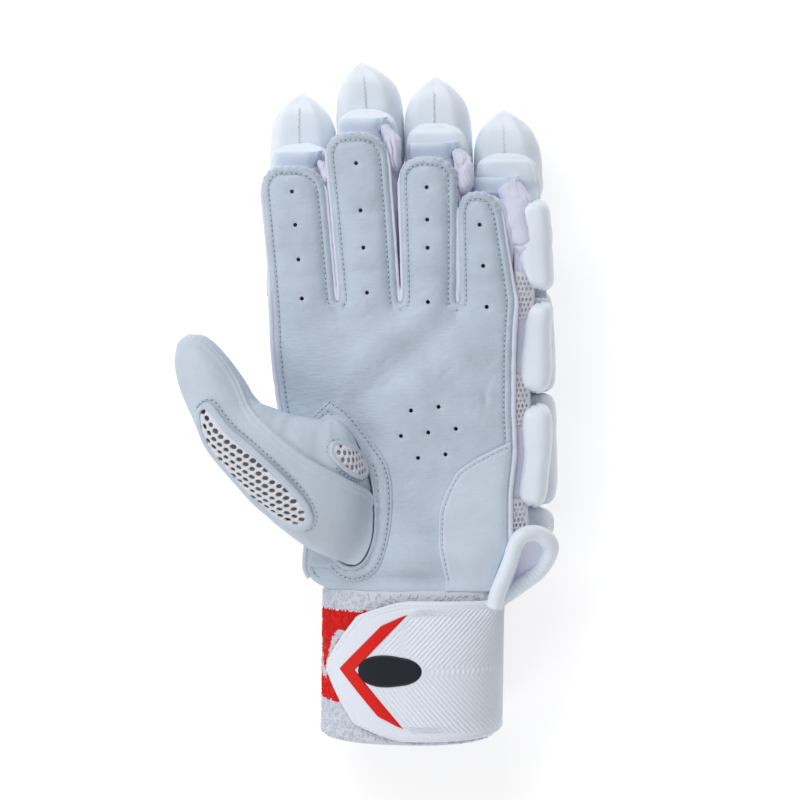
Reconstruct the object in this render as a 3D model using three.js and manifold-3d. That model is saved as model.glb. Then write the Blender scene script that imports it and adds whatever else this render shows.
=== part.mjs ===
// A left-hand cricket batting glove, lying on its padded back with the palm up.
// Millimetres, +Z up, +Y along the fingers, +X towards the little finger.
// The outside is sewn from a leather palm, knitted finger stalls, a leather thumb,
// a towelling wristband with a strap, and stuffed protective rolls on the back.
import * as THREE from "three";
import { mergeVertices } from "three/addons/utils/BufferGeometryUtils.js";
import Module from "manifold-3d";

const wasm = await Module();
wasm.setup();

// Driving dimensions of the hand part
const PALM_WIDTH = 112; // leather across the knuckles
const PALM_LENGTH = 132; // from the finger crotches to the wrist hem
const CROTCH_Y = 45; // from the palm's centre to the crotches
const FINGER_REACH = 75; // leather of the middle finger past the crotches
const STALL_DEPTH = 18; // a finger stall at its tip, front to back
const CURL = 11; // how far the fingertips lift off the surface
const LEATHER = 1.2; // thickness of the palm leather
const PATCH = 1; // thickness of the leather patches
const KNIT = 1.4; // thickness of the knitted stalls
const BACKING = 2.2; // thickness of the hand's back panel
const GAP = 0.3; // between sewn pieces

// Driving dimensions of the protection
const ROLL_THICK = 22; // a stuffed roll, from the surface it rests on
const ROLL_WIDTH = 128; // the four rolls side by side at the knuckles
const ROLL_REACH = 107.5; // from the crotches to the middle roll's point
const ROLL_FLAT = 2; // how much of a roll's belly is pressed flat
const ROW_GAP = 0.8; // between the rolls of one finger
const POINT_LENGTH = 25; // the pointed end of a fingertip roll
const PAD_THICK = 8; // the soft pad between a fingertip and its roll
const PAD_THIN = 1.5; // the same pad at the crotches
const PAD_REACH = 86; // from the crotches to the middle pad's end
const SIDE_FLARE = 7; // how far the hand's sides lean out towards the rolls
const BAR_WIDTH = 12; // the side bars beside the little finger
const BAR_DEPTH = 17;
const BAR_OUT = 0.46; // where on the leaning side they sit, as a share of its lean

// Driving dimensions of the wrist
const BAND_LENGTH = 66.5; // towelling wristband, along the arm
const BAND_WIDTH = 80;
const BAND_DEPTH = 50;
const BAND_MOUTH = 30; // the band's depth where it is sewn to the hand
const TOWEL = 3; // thickness of the towelling
const STRAP_WIDTH = 61.5;
const STRAP_THICK = 2.2;
const STRAP_POINT = 19; // length of the strap's pointed end
const STRAP_SHOULDER = 14; // the bevel between the point and the straight edge
const STRAP_INSET = 3; // from the band's upper edge to the strap
const INLAY = 0.6; // thickness of the coloured inlays on the strap

// Driving dimensions of the thumb and its parts
const THUMB_LENGTH = 97; // from the middle of its root to its tip
const THUMB_ROOT = 33; // half the length of the root's oval
const THUMB_LEATHER = 1.3;
const THUMB_RISE = 15; // the tip above the palm's surface
const SEAM = 3; // half the angle between two thumb panels, in degrees
const MESH = 1; // thickness of the ventilation mesh
const BINDING = 2.6; // width of the bound rim round the mesh
const GUARD_THICK = 9; // the pads on the thumb's back
const PATCH_RING = 7; // width of the patch round the thumb's root
const ELASTIC = 1; // thickness of the elastic loops
const ELASTIC_WIDTH = 6.5;
const ELASTIC_RISE = 7;
const RIM_RADIUS = 2.3; // the padded rim of the wrist gusset
const VENT_RADIUS = 1.1; // a punched hole in the palm

const PALM_Z = ROLL_THICK + PAD_THICK + STALL_DEPTH + LEATHER + 3 * GAP;
const HEM_Y = CROTCH_Y - PALM_LENGTH;
const FINGER_CROWN = 3.4; // how far a finger's leather drops to its edges
const PALM_CROWN = 5; // how far the palm's leather drops to its edges

// Leather of each finger. base and tip are its middle, halfBase and halfTip its half width, all shares
// of PALM_WIDTH; length is a share of FINGER_REACH; bulge is how far the knitted tip stands out, in shares
// of STALL_DEPTH; roll and pad are shares of ROLL_REACH and PAD_REACH; joint is where the roll is split;
// lean is how far its point leans to the side, in half widths; vents are the punched holes along it.
const FINGERS = [
  { name: "index", base: -0.4, tip: -0.445, halfBase: 0.13, halfTip: 0.13, length: 0.8, bulge: 0.04,
    roll: 0.868, pad: 0.82, joint: 0.5, lean: 0, vents: [0.007, 0.3, 0.56, 0.81] },
  { name: "middle", base: -0.132, tip: -0.182, halfBase: 0.12, halfTip: 0.125, length: 1, bulge: 0.12,
    roll: 1, pad: 1, joint: 0.52, lean: -0.22, vents: [0.043, 0.313, 0.535, 0.817] },
  { name: "ring", base: 0.115, tip: 0.11, halfBase: 0.108, halfTip: 0.118, length: 0.853, bulge: 0.12,
    roll: 0.934, pad: 0.924, joint: 0.52, lean: 0, vents: [-0.012, 0.367, 0.564, 0.79] },
  { name: "little", base: 0.348, tip: 0.312, halfBase: 0.112, halfTip: 0.082, length: 0.645, bulge: 0.26,
    roll: 0.796, pad: 0.766, joint: 0.52, lean: -0.05, vents: [-0.06, 0.32, 0.7] },
];

// The palm's two edges below the crotches: down is a share of PALM_LENGTH, left and right of PALM_WIDTH.
const PALM_EDGES = [
  { down: 0, left: -0.53, right: 0.46 },
  { down: 0.18, left: -0.523, right: 0.447 },
  { down: 0.36, left: -0.5, right: 0.445 },
  { down: 0.51, left: -0.46, right: 0.452 },
  { down: 0.68, left: -0.411, right: 0.434 },
  { down: 0.82, left: -0.386, right: 0.436 },
  { down: 0.92, left: -0.396, right: 0.398 },
  { down: 0.975, left: -0.365, right: 0.376 },
  { down: 1, left: -0.305, right: 0.362 },
];

// The outer edges of the rolls: up is a share of ROLL_REACH from the crotches, left and right of ROLL_WIDTH.
const ROLL_EDGES = [
  { up: 1, left: -0.512, right: 0.455 },
  { up: 0.62, left: -0.516, right: 0.467 },
  { up: 0, left: -0.526, right: 0.504 },
  { up: -0.4, left: -0.48, right: 0.52 },
  { up: -0.9, left: -0.4, right: 0.525 },
  { up: -1.06, left: -0.37, right: 0.5 },
];
// Where the rows of rolls on the back of the hand part, in shares of ROLL_REACH from the crotches
const ROWS = { knuckle: 0.03, hand: -0.41, wrist: -0.89, end: -1.05 };

// Half width and half height of a roll along its length, in shares of the full size
const ROLL_SECTIONS = [
  { along: 0, size: 0.74 },
  { along: 0.1, size: 0.93 },
  { along: 0.3, size: 1 },
  { along: 0.7, size: 1 },
  { along: 0.9, size: 0.93 },
  { along: 1, size: 0.74 },
];
// The pointed end of a fingertip roll: back is a share of POINT_LENGTH from the point.
const POINT_SECTIONS = [
  { back: 0.72, wide: 0.93, high: 0.97 },
  { back: 0.44, wide: 0.72, high: 0.84 },
  { back: 0.2, wide: 0.4, high: 0.6 },
  { back: 0.06, wide: 0.14, high: 0.3 },
];

// Thumb sections from its root to its tip. x and y are shares of THUMB_LENGTH from the palm's centre,
// rise of THUMB_RISE above the palm, across and deep of THUMB_ROOT; turn tips the section up from the
// palm's plane and yaw swings it towards the thumb, in degrees.
const THUMB_SECTIONS = [
  { x: -0.273, y: -0.44, rise: 0, across: 1, deep: 0.42, turn: 0, yaw: -10 },
  { x: -0.355, y: -0.385, rise: 0.62, across: 0.9, deep: 0.48, turn: 36, yaw: 12 },
  { x: -0.49, y: -0.305, rise: 0.86, across: 0.74, deep: 0.5, turn: 64, yaw: 31 },
  { x: -0.645, y: -0.195, rise: 0.96, across: 0.57, deep: 0.47, turn: 84, yaw: 43 },
  { x: -0.76, y: -0.105, rise: 1, across: 0.48, deep: 0.44, turn: 90, yaw: 49 },
  { x: -0.832, y: 0.018, rise: 1, across: 0.44, deep: 0.42, turn: 90, yaw: 54 },
  { x: -0.893, y: 0.125, rise: 1, across: 0.39, deep: 0.385, turn: 90, yaw: 56 },
  { x: -0.958, y: 0.23, rise: 1, across: 0.285, deep: 0.29, turn: 90, yaw: 50 },
  { x: -0.99, y: 0.275, rise: 1, across: 0.12, deep: 0.13, turn: 90, yaw: 46 },
];

// Small helpers on numbers
const mix = (a, b, t) => a + (b - a) * t;
const clamp = (t, low = 0, high = 1) => Math.min(high, Math.max(low, t));
const smooth = (t) => clamp(t) ** 2 * (3 - 2 * clamp(t));
const radians = (degrees) => (degrees * Math.PI) / 180;

// Reads column `name` of a table at `at`, between rows sorted by column `key`.
function look(table, key, at, name) {
  const rising = table[table.length - 1][key] > table[0][key];
  const rows = rising ? table : [...table].reverse();
  const last = rows.length - 1;
  if (at <= rows[0][key]) return rows[0][name];
  if (at >= rows[last][key]) return rows[last][name];
  const i = rows.findIndex((row) => row[key] > at) - 1;
  const t = (at - rows[i][key]) / (rows[i + 1][key] - rows[i][key]);
  return mix(rows[i][name], rows[i + 1][name], t);
}

// Shapes as functions: closed bodies from grids of points

// Merges the vertices, drops collapsed triangles and turns the body's faces outwards.
function closed(points, faces) {
  const positions = new Float32Array(points.flatMap((p) => [p.x, p.y, p.z]));
  const raw = new THREE.BufferGeometry();
  raw.setAttribute("position", new THREE.BufferAttribute(positions, 3));
  raw.setIndex(faces.flat());
  const merged = mergeVertices(raw, 1e-3);
  const index = merged.index.array;
  const place = merged.attributes.position;
  const corner = (i) => new THREE.Vector3().fromBufferAttribute(place, i);
  const kept = [];
  let volume = 0;
  for (let i = 0; i < index.length; i += 3) {
    const [a, b, c] = index.slice(i, i + 3);
    if (a === b || b === c || c === a) continue;
    kept.push(a, b, c);
    volume += corner(a).dot(corner(b).cross(corner(c)));
  }
  if (volume < 0) kept.reverse();
  merged.setIndex(kept);
  return merged;
}

// The triangles of a grid of nu by nv cells whose first point has number `start`.
function gridFaces(nu, nv, start, flip) {
  const faces = [];
  for (let j = 0; j < nv; j++) {
    for (let i = 0; i < nu; i++) {
      const a = start + j * (nu + 1) + i;
      const b = a + 1;
      const c = a + nu + 1;
      const d = c + 1;
      faces.push(flip ? [a, c, b] : [a, b, c], flip ? [b, c, d] : [b, d, c]);
    }
  }
  return faces;
}

// A wall between two surfaces, each a function of u and v from 0 to 1. A tube wraps round in u.
function wall(outer, inner, nu, nv, wraps = false) {
  const points = [];
  for (const surface of [outer, inner])
    for (let j = 0; j <= nv; j++)
      for (let i = 0; i <= nu; i++) points.push(surface((wraps ? i % nu : i) / nu, j / nv));
  const shift = (nu + 1) * (nv + 1);
  const faces = [...gridFaces(nu, nv, 0, false), ...gridFaces(nu, nv, shift, true)];
  const bridge = (a, b) => faces.push([b, a, a + shift], [b, a + shift, b + shift]);
  for (let i = 0; i < nu; i++) {
    bridge(i, i + 1);
    bridge(nv * (nu + 1) + i + 1, nv * (nu + 1) + i);
  }
  for (let j = 0; j < nv && !wraps; j++) {
    bridge((j + 1) * (nu + 1), j * (nu + 1));
    bridge(j * (nu + 1) + nu, (j + 1) * (nu + 1) + nu);
  }
  return closed(points, faces);
}

// A stuffed body through rings of points, with a flat lid on each end.
function stuffed(rings) {
  const sides = rings[0].length;
  const points = rings.flat();
  const faces = [];
  for (let j = 0; j < rings.length - 1; j++)
    for (let i = 0; i < sides; i++) {
      const a = j * sides + i;
      const b = j * sides + ((i + 1) % sides);
      faces.push([a, b, a + sides], [b, b + sides, a + sides]);
    }
  [0, rings.length - 1].forEach((j) => {
    const middle = new THREE.Vector3();
    rings[j].forEach((p) => middle.addScaledVector(p, 1 / sides));
    points.push(middle);
    for (let i = 0; i < sides; i++) {
      const a = j * sides + i;
      const b = j * sides + ((i + 1) % sides);
      faces.push(j ? [a, b, points.length - 1] : [b, a, points.length - 1]);
    }
  });
  return closed(points, faces);
}

const manifoldOf = (geometry) =>
  new wasm.Manifold(
    new wasm.Mesh({
      numProp: 3,
      vertProperties: geometry.attributes.position.array,
      triVerts: new Uint32Array(geometry.index.array),
    }),
  );

function geometryOf(manifold) {
  const { vertProperties, triVerts } = manifold.getMesh();
  const geometry = new THREE.BufferGeometry();
  geometry.setAttribute("position", new THREE.BufferAttribute(vertProperties, 3));
  geometry.setIndex(new THREE.BufferAttribute(triVerts, 1));
  return geometry;
}

// An upright prism over an outline of [x, y] points, tall enough to cut any sheet of the palm.
function prism(outline) {
  const shape = new THREE.Shape(outline.map(([x, y]) => new THREE.Vector2(x, y)));
  const tall = new THREE.ExtrudeGeometry(shape, { depth: 4 * PALM_Z, bevelEnabled: false });
  tall.translate(0, 0, -PALM_Z);
  tall.deleteAttribute("normal");
  tall.deleteAttribute("uv");
  return manifoldOf(mergeVertices(tall, 1e-3));
}

// A sheet lying `above` the palm's surface, cut to the outlines given. All sheets share one lattice.
function palmSheet(outlines, above, thickness) {
  const span = (values, cell) => {
    const first = Math.floor((Math.min(...values) - 1) / cell);
    return { first, count: Math.ceil((Math.max(...values) + 1) / cell) - first };
  };
  const across = span(outlines[0].map(([x]) => x), LATTICE.x);
  const up = span(outlines[0].map(([, y]) => y), LATTICE.y);
  const level = (height) => (u, v) => {
    const x = LATTICE.x * (across.first + Math.round(u * across.count));
    const y = LATTICE.y * (up.first + Math.round(v * up.count));
    return new THREE.Vector3(x, y, palmTop(x, y) + height);
  };
  const sheet = wall(level(above + thickness), level(above), across.count, up.count);
  return outlines.reduce((cut, outline) => cut.intersect(prism(outline)), manifoldOf(sheet));
}
const LATTICE = { x: 8, y: 17 }; // cells of the palm's surface

// The hand: where each finger, the palm's surface and the rolls are

const fingerTop = (finger) => CROTCH_Y + FINGER_REACH * finger.length;
const along = (finger, y) => (y - CROTCH_Y) / (FINGER_REACH * finger.length);
const middleX = (finger, y) => PALM_WIDTH * mix(finger.base, finger.tip, clamp(along(finger, y), -0.3, 1));
const halfX = (finger, y) =>
  PALM_WIDTH * mix(finger.halfBase, finger.halfTip, clamp(along(finger, y), -0.3, 1));
const edgeX = (side, y) => PALM_WIDTH * look(PALM_EDGES, "down", (CROTCH_Y - y) / PALM_LENGTH, side);

// How far the curled fingers lift at y
const lift = (y) => CURL * clamp((y - CROTCH_Y) / ROLL_REACH, 0, 2) ** 2;

// Top of the leather, before the curl: crowned over each finger, and over the palm as a whole.
function palmTop(x, y) {
  const near = FINGERS.reduce((a, b) =>
    Math.abs(x - middleX(b, y)) / halfX(b, y) < Math.abs(x - middleX(a, y)) / halfX(a, y) ? b : a,
  );
  const share = clamp((x - middleX(near, y)) / halfX(near, y), -1.6, 1.6);
  const centre = (edgeX("left", y) + edgeX("right", y)) / 2;
  const half = (edgeX("right", y) - edgeX("left", y)) / 2;
  const across = clamp(Math.abs(x - centre) / half, 0, 1.15);
  const finger = FINGER_CROWN * share ** 2;
  const palm = PALM_CROWN * across ** 4;
  return PALM_Z - mix(palm, finger, smooth((y - CROTCH_Y + 16) / 18));
}

// Everything is drawn flat and then curled: each point rises by lift(y).
const curled = (geometry) => {
  const place = geometry.attributes.position;
  for (let i = 0; i < place.count; i++) place.setZ(i, place.getZ(i) + lift(place.getY(i)));
  return geometry;
};

// Half width of a finger's leather at y, rounded off at its tip
function lobeHalf(finger, y, round) {
  const left = fingerTop(finger) - y;
  return halfX(finger, y) * (left < round ? (1 - (1 - left / round) ** 2.6) ** (1 / 2.6) : 1);
}

const TIP_ROUND = 13; // length of the rounded end of a finger's leather
const TIP_STEPS = [0, 0.05, 0.16, 0.36, 0.65, 1]; // where its outline has points
const LOBE_STEPS = [0.02, 0.4];

// One finger's part of the palm outline, from its left crotch round the tip to its right crotch
function lobe(finger) {
  const top = fingerTop(finger);
  const ys = [
    ...LOBE_STEPS.map((t) => mix(CROTCH_Y, top, t)),
    ...[...TIP_STEPS].reverse().map((t) => top - TIP_ROUND * t),
  ];
  const point = (side) => (y) => [middleX(finger, y) + side * lobeHalf(finger, y, TIP_ROUND), y];
  return [...ys.map(point(-1)), ...ys.slice(0, -1).reverse().map(point(1))];
}

const edgeRows = (side) =>
  PALM_EDGES.slice(1).map((row) => [PALM_WIDTH * row[side], CROTCH_Y - PALM_LENGTH * row.down]);
const palmOutline = () => [
  ...edgeRows("left").reverse(),
  ...FINGERS.flatMap(lobe),
  ...edgeRows("right"),
];
const inset = (outline, by) => {
  const cx = 0;
  const cy = (HEM_Y + CROTCH_Y) / 2;
  return outline.map(([x, y]) => [x - by * Math.sign(x - cx), y - by * Math.sign(y - cy)]);
};

// Punched ventilation holes: along each finger, and a ring of six on the palm round another
const VENT_RING = { x: 0.115, y: -14.5, radius: 12.5 };
function vents() {
  const places = FINGERS.flatMap((f) =>
    f.vents.map((t) => {
      const y = mix(CROTCH_Y, fingerTop(f), t);
      return [middleX(f, y), y];
    }),
  );
  const centre = [PALM_WIDTH * VENT_RING.x, VENT_RING.y];
  places.push(centre);
  for (let i = 0; i < 6; i++) {
    const a = radians(60 * i + 8);
    places.push([
      centre[0] + VENT_RING.radius * Math.cos(a),
      centre[1] + VENT_RING.radius * Math.sin(a),
    ]);
  }
  return places;
}
const ring = (x, y, radius, sides) =>
  Array.from({ length: sides }, (_, i) => {
    const a = (2 * Math.PI * i) / sides;
    return [x + radius * Math.cos(a), y + radius * Math.sin(a)];
  });

// The thumb's surface: a tube that leaves the palm's plane and swings out to the side.
// around is in degrees: 0 faces the viewer, 90 the outer side, 180 the back and 270 the palm side.
function thumbPoint(around, t, outward) {
  const at = t * (THUMB_SECTIONS.length - 1);
  const column = (name) => {
    const i = Math.min(Math.floor(at), THUMB_SECTIONS.length - 2);
    const rows = [i - 1, i, i + 1, i + 2].map((k) => THUMB_SECTIONS[clamp(k, 0, THUMB_SECTIONS.length - 1)]);
    const [a, b, c, d] = rows.map((row) => row[name]);
    const f = at - i;
    const bend = (c - a) * f + (2 * a - 5 * b + 4 * c - d) * f ** 2 + (3 * (b - c) + d - a) * f ** 3;
    return b + 0.5 * bend;
  };
  const yaw = radians(column("yaw"));
  const turn = radians(column("turn"));
  const across = THUMB_ROOT * column("across") + outward;
  const deep = THUMB_ROOT * column("deep") + outward;
  const sideways = new THREE.Vector3(-Math.sin(yaw), -Math.cos(yaw), 0);
  const level = Math.cos(turn);
  const forward = new THREE.Vector3(level * Math.cos(yaw), -level * Math.sin(yaw), Math.sin(turn));
  const a = radians(around);
  const x = THUMB_LENGTH * column("x");
  const y = THUMB_LENGTH * column("y");
  const p = new THREE.Vector3(x, y, 0)
    .addScaledVector(sideways, across * Math.sin(a))
    .addScaledVector(forward, deep * Math.cos(a));
  const root = palmTop(p.x, p.y) + PATCH + 2 * GAP;
  p.z += mix(root, PALM_Z + THUMB_RISE * column("rise"), smooth(column("rise") / 0.5));
  return p;
}

// The oval of the thumb's root on the palm, `outward` of its outside
const rootOval = (outward, sides) =>
  Array.from({ length: sides }, (_, i) => {
    const p = thumbPoint((-360 * i) / sides, 0, outward);
    return [p.x, p.y];
  });

// A panel of the thumb between two angles and two places along it. `over` is its height above the leather.
function thumbPanel(from, to, start, end, over, thickness, nu, nv) {
  const surface = (outward) => (u, v) => {
    const t = mix(start, end, v);
    return thumbPoint(mix(from(t), to(t), u), t, outward);
  };
  return wall(surface(over), surface(over - thickness), nu, nv);
}

// Pieces by name

const pieces = [];
const add = (name, geometry, material) => pieces.push({ name, geometry, material });

const paint = (color, roughness) => new THREE.MeshStandardMaterial({ color, roughness, metalness: 0 });
const palmLeather = paint(0xc6d0db, 0.55);
const whiteLeather = paint(0xe6e9f0, 0.5);
const knit = paint(0xdcd9e6, 0.9);
const meshFabric = paint(0xd3d0dc, 0.9);
const elasticTape = paint(0xdae4ea, 0.7);
const towelling = paint(0xe9e8ee, 1);
const strapRubber = paint(0xe8ebf2, 0.45);
const redRubber = paint(0xe2231a, 0.4);
const darkRubber = paint(0x1b1f2b, 0.4);

function makePalm() {
  const outline = palmOutline();
  let palm = palmSheet([outline], -LEATHER, LEATHER);
  palm = palm.subtract(prism(rootOval(-THUMB_LEATHER - 2 * GAP, 24)));
  vents().forEach(([x, y]) => {
    palm = palm.subtract(prism(ring(x, y, VENT_RADIUS, 6)));
  });
  add("palm", geometryOf(palm), palmLeather);

  const edge = inset(outline, 0.8);
  const thumbPatch = palmSheet([rootOval(PATCH_RING, 24), edge], GAP, PATCH);
  const hole = prism(rootOval(GAP - THUMB_LEATHER, 24));
  add("thumb_patch", geometryOf(thumbPatch.subtract(hole)), palmLeather);

  const seam = HEEL_SEAM.map(([x, y]) => [PALM_WIDTH * x, HEM_Y + PALM_LENGTH * y]);
  const far = PALM_WIDTH / 2;
  const region = [...seam, [seam[seam.length - 1][0], HEM_Y - 9], [far, HEM_Y - 9], [far, seam[0][1]]];
  add("heel_patch", geometryOf(palmSheet([region, edge], GAP, PATCH)), palmLeather);
}
// The curved seam of the heel patch: across is a share of PALM_WIDTH, up a share of PALM_LENGTH.
const HEEL_SEAM = [
  [0.46, 0.524], [0.37, 0.489], [0.29, 0.452], [0.232, 0.415], [0.184, 0.34], [0.16, 0.27],
  [0.156, 0.18], [0.172, 0.1], [0.185, 0.03],
];

const LIP_DROP = 1.3; // from the leather down to the lip of a stall or of the back panel
const padThick = (y) => mix(PAD_THIN, PAD_THICK, clamp((y - CROTCH_Y) / FINGER_REACH));
const stallFloor = (y) => ROLL_THICK + padThick(y) + 2 * GAP;
const underLeather = (x, y) => palmTop(x, y) - LEATHER - LIP_DROP;

// A trough under the leather: u runs from its left lip round the back to its right lip.
// Towards its floor it widens by `flare` on each side.
function trough(u, y, left, right, floor, round, flare = 0) {
  const a = Math.PI * (1 - u);
  const x = mix((left + right) / 2, a > Math.PI / 2 ? left : right, Math.abs(Math.cos(a)) ** round);
  const lip = underLeather(x < (left + right) / 2 ? left : right, y);
  const down = Math.sin(a) ** round;
  return new THREE.Vector3(x - flare * down * Math.cos(Math.PI * u), y, mix(lip, floor, down));
}

const SEAM_INSET = 1; // the knitted stall lies this far inside its leather's edge
function makeStall(finger) {
  const top = fingerTop(finger) - SEAM_INSET;
  const surface = (into) => (u, v) => {
    const y = mix(CROTCH_Y + GAP, top - into, v);
    const shrink = (1 - v ** 5) ** 0.4;
    const middle = middleX(finger, y);
    const half = (halfX(finger, y) - SEAM_INSET) * shrink - into * Math.sign(shrink);
    const bulge = STALL_DEPTH * finger.bulge * smooth((v - 0.25) / 0.5) * shrink;
    const left = middle - Math.max(half, 0);
    const right = middle + Math.max(half + bulge, 0);
    const floor = mix(underLeather(middle, y), stallFloor(y) + into, shrink);
    return trough(u, y, left, right, floor, 0.72);
  };
  add("stall_" + finger.name, wall(surface(0), surface(KNIT), 8, 8), knit);
}

const rollX = (side, y) => ROLL_WIDTH * look(ROLL_EDGES, "up", (y - CROTCH_Y) / ROLL_REACH, side);
// The line between two columns of rolls: 0 is left of the index finger, 4 right of the little one.
const columnX = (k, y) => mix(rollX("left", y), rollX("right", y), k / 4);
const columnMiddle = (column, y) => columnX(column + 0.5, y);
const columnHalf = (column, y) => (columnX(column + 1, y) - columnX(column, y) - GAP) / 2;

// One cross-section of a stuffed roll, flattened where it rests
function rollRing(x, y, half, bottom, top, sides = 12) {
  const middle = (bottom + top) / 2;
  const high = (top - bottom) / 2;
  return Array.from({ length: sides }, (_, i) => {
    const a = (2 * Math.PI * (i + 0.5)) / sides;
    const round = (t) => Math.sign(t) * Math.abs(t) ** 0.86;
    const z = middle + round(Math.sin(a)) * (high + ROLL_FLAT);
    return new THREE.Vector3(x + round(Math.cos(a)) * half, y, clamp(z, bottom, top));
  });
}

function makeRoll(name, column, low, high) {
  const rings = ROLL_SECTIONS.map(({ along: t, size }) => {
    const y = mix(low, high, t);
    const squeeze = (ROLL_THICK * (1 - size)) / 2;
    const half = columnHalf(column, y) * mix(1, size, 0.4);
    return rollRing(columnMiddle(column, y), y, half, squeeze / 2, ROLL_THICK - squeeze);
  });
  add(name, stuffed(rings), whiteLeather);
}

function makeTipRoll(finger, column, low) {
  const point = CROTCH_Y + ROLL_REACH * finger.roll;
  const start = ROLL_SECTIONS.slice(0, 3).map(({ along: t, size }) => {
    const y = low + (point - POINT_LENGTH - low) * t * 2;
    const squeeze = (ROLL_THICK * (1 - size)) / 2;
    const half = columnHalf(column, y) * mix(1, size, 0.4);
    return rollRing(columnMiddle(column, y), y, half, squeeze / 2, ROLL_THICK - squeeze);
  });
  const end = [{ back: 1, wide: 1, high: 1 }, ...POINT_SECTIONS].map(({ back, wide, high }) => {
    const y = point - POINT_LENGTH * back;
    const squeeze = (ROLL_THICK * (1 - high)) / 2;
    const half = columnHalf(column, y);
    const x = columnMiddle(column, y) + half * finger.lean * (1 - back) * (1 - wide);
    return rollRing(x, y, half * wide, squeeze, ROLL_THICK - squeeze);
  });
  add("roll_" + finger.name + "_tip", stuffed([...start, ...end]), whiteLeather);
}

function makeRolls() {
  const row = (share) => CROTCH_Y + ROLL_REACH * share;
  FINGERS.forEach((finger, column) => {
    const split = CROTCH_Y + ROLL_REACH * finger.roll * finger.joint;
    makeTipRoll(finger, column, split + ROW_GAP);
    makeRoll("roll_" + finger.name + "_mid", column, row(ROWS.knuckle) + ROW_GAP, split);
    makeRoll("roll_" + finger.name + "_knuckle", column, row(ROWS.hand) + ROW_GAP, row(ROWS.knuckle));
    makeRoll("roll_" + finger.name + "_hand", column, row(ROWS.wrist) + ROW_GAP, row(ROWS.hand));
  });
  const y = (t) => mix(row(ROWS.wrist), row(ROWS.end), t);
  const rings = ROLL_SECTIONS.map(({ along: t, size }) => {
    const left = rollX("left", y(0)) + 2;
    const right = rollX("right", y(0)) - 2;
    return Array.from({ length: 12 }, (_, i) => {
      const a = (2 * Math.PI * (i + 0.5)) / 12;
      const round = (s) => Math.sign(s) * Math.abs(s) ** 0.86;
      const high = ROLL_THICK / 2;
      const z = clamp(high + round(Math.sin(a)) * size * (high + ROLL_FLAT) * 0.97, 0, ROLL_THICK);
      const along = (y(0) + y(1)) / 2 + round(Math.cos(a)) * size * 0.5 * (y(0) - y(1));
      return new THREE.Vector3(mix(left, right, t), along, z);
    });
  });
  add("wrist_pad", stuffed(rings), whiteLeather);
}

// How round the pad's end is at y, from 1 where it is full to 0 at its end, and its height there
function padDome(finger, y) {
  const t = (y - CROTCH_Y) / (PAD_REACH * finger.pad);
  return Math.sqrt(1 - clamp((t - 0.7) / 0.32) ** 2.4);
}
function padHigh(finger, y) {
  const swell = 1 + 0.25 * smooth((y - fingerTop(finger)) / 6);
  return padThick(y) * mix(0.45, swell, padDome(finger, y));
}

// The soft pad between a finger and its roll: domed at the fingertip
function makePad(finger, column) {
  const end = CROTCH_Y + PAD_REACH * finger.pad;
  const rows = [0, 0.35, 0.7, 0.86, 0.95, 1].map((t) => {
    const y = mix(CROTCH_Y + GAP, end, t);
    const half = (columnHalf(column, y) - 1.2) * mix(0.35, 1, padDome(finger, y));
    const bottom = ROLL_THICK + GAP;
    const top = bottom + padHigh(finger, y);
    const x = columnMiddle(column, y);
    return Array.from({ length: 10 }, (_, i) => {
      const a = (2 * Math.PI * (i + 0.5)) / 10;
      const round = (s) => Math.sign(s) * Math.abs(s) ** 0.7;
      const z = mix(bottom, top, (1 + round(Math.sin(a))) / 2);
      return new THREE.Vector3(x + round(Math.cos(a)) * half, y, z);
    });
  });
  add("pad_" + finger.name, stuffed(rows), whiteLeather);
}

// The elastic loop that stands on a fingertip pad, just past the leather
function makeElastic(finger, column) {
  const low = fingerTop(finger) + GAP;
  const surface = (into) => (u, v) => {
    const y = mix(low, low + ELASTIC_WIDTH, v);
    const half = 0.62 * columnHalf(column, y) - into;
    const a = Math.PI * (1 - u);
    const round = (s) => Math.sign(s) * Math.abs(s) ** 0.5;
    const floor = ROLL_THICK + 2 * GAP + padHigh(finger, y);
    const x = mix(middleX(finger, y), columnMiddle(column, y), 0.5) + round(Math.cos(a)) * half;
    return new THREE.Vector3(x, y, floor + round(Math.sin(a)) * (ELASTIC_RISE - into));
  };
  add("elastic_" + finger.name, wall(surface(0), surface(ELASTIC), 10, 1), elasticTape);
}

const flare = (y) => SIDE_FLARE * smooth((y - HEM_Y) / 25);
function makeBackPanel() {
  const low = HEM_Y;
  const surface = (into) => (u, v) => {
    const y = mix(low, CROTCH_Y - GAP, v);
    const left = edgeX("left", y) + 1.6 + into;
    const right = edgeX("right", y) - 1.6 - into;
    return trough(u, y, left, right, ROLL_THICK + GAP + into, 0.42, flare(y));
  };
  add("back_panel", wall(surface(0), surface(BACKING), 12, 6), knit);
}

// Side bars: bar k runs beside the little finger and the hand's edge, from `high` down to `low`.
function makeBar(name, low, high) {
  const little = FINGERS[3];
  const inner = (y) => {
    const finger = middleX(little, y) + halfX(little, y) - SEAM_INSET + STALL_DEPTH * little.bulge;
    const hand = edgeX("right", y) - 1.6 + BAR_OUT * flare(y);
    return (y > CROTCH_Y ? Math.max(finger, edgeX("right", y)) : hand) + GAP;
  };
  const rings = ROLL_SECTIONS.map(({ along: t, size }) => {
    const y = mix(low, high, t);
    const wide = (BAR_WIDTH / 2) * size;
    const deep = (BAR_DEPTH / 2) * size;
    const z = stallFloor(y) + BAR_DEPTH / 2;
    return Array.from({ length: 12 }, (_, i) => {
      const a = (2 * Math.PI * (i + 0.5)) / 12;
      const round = (s) => Math.sign(s) * Math.abs(s) ** 0.75;
      const x = inner(y) + BAR_WIDTH / 2 + round(Math.cos(a)) * wide;
      return new THREE.Vector3(x, y, z + round(Math.sin(a)) * deep);
    });
  });
  add(name, stuffed(rings), whiteLeather);
}

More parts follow.
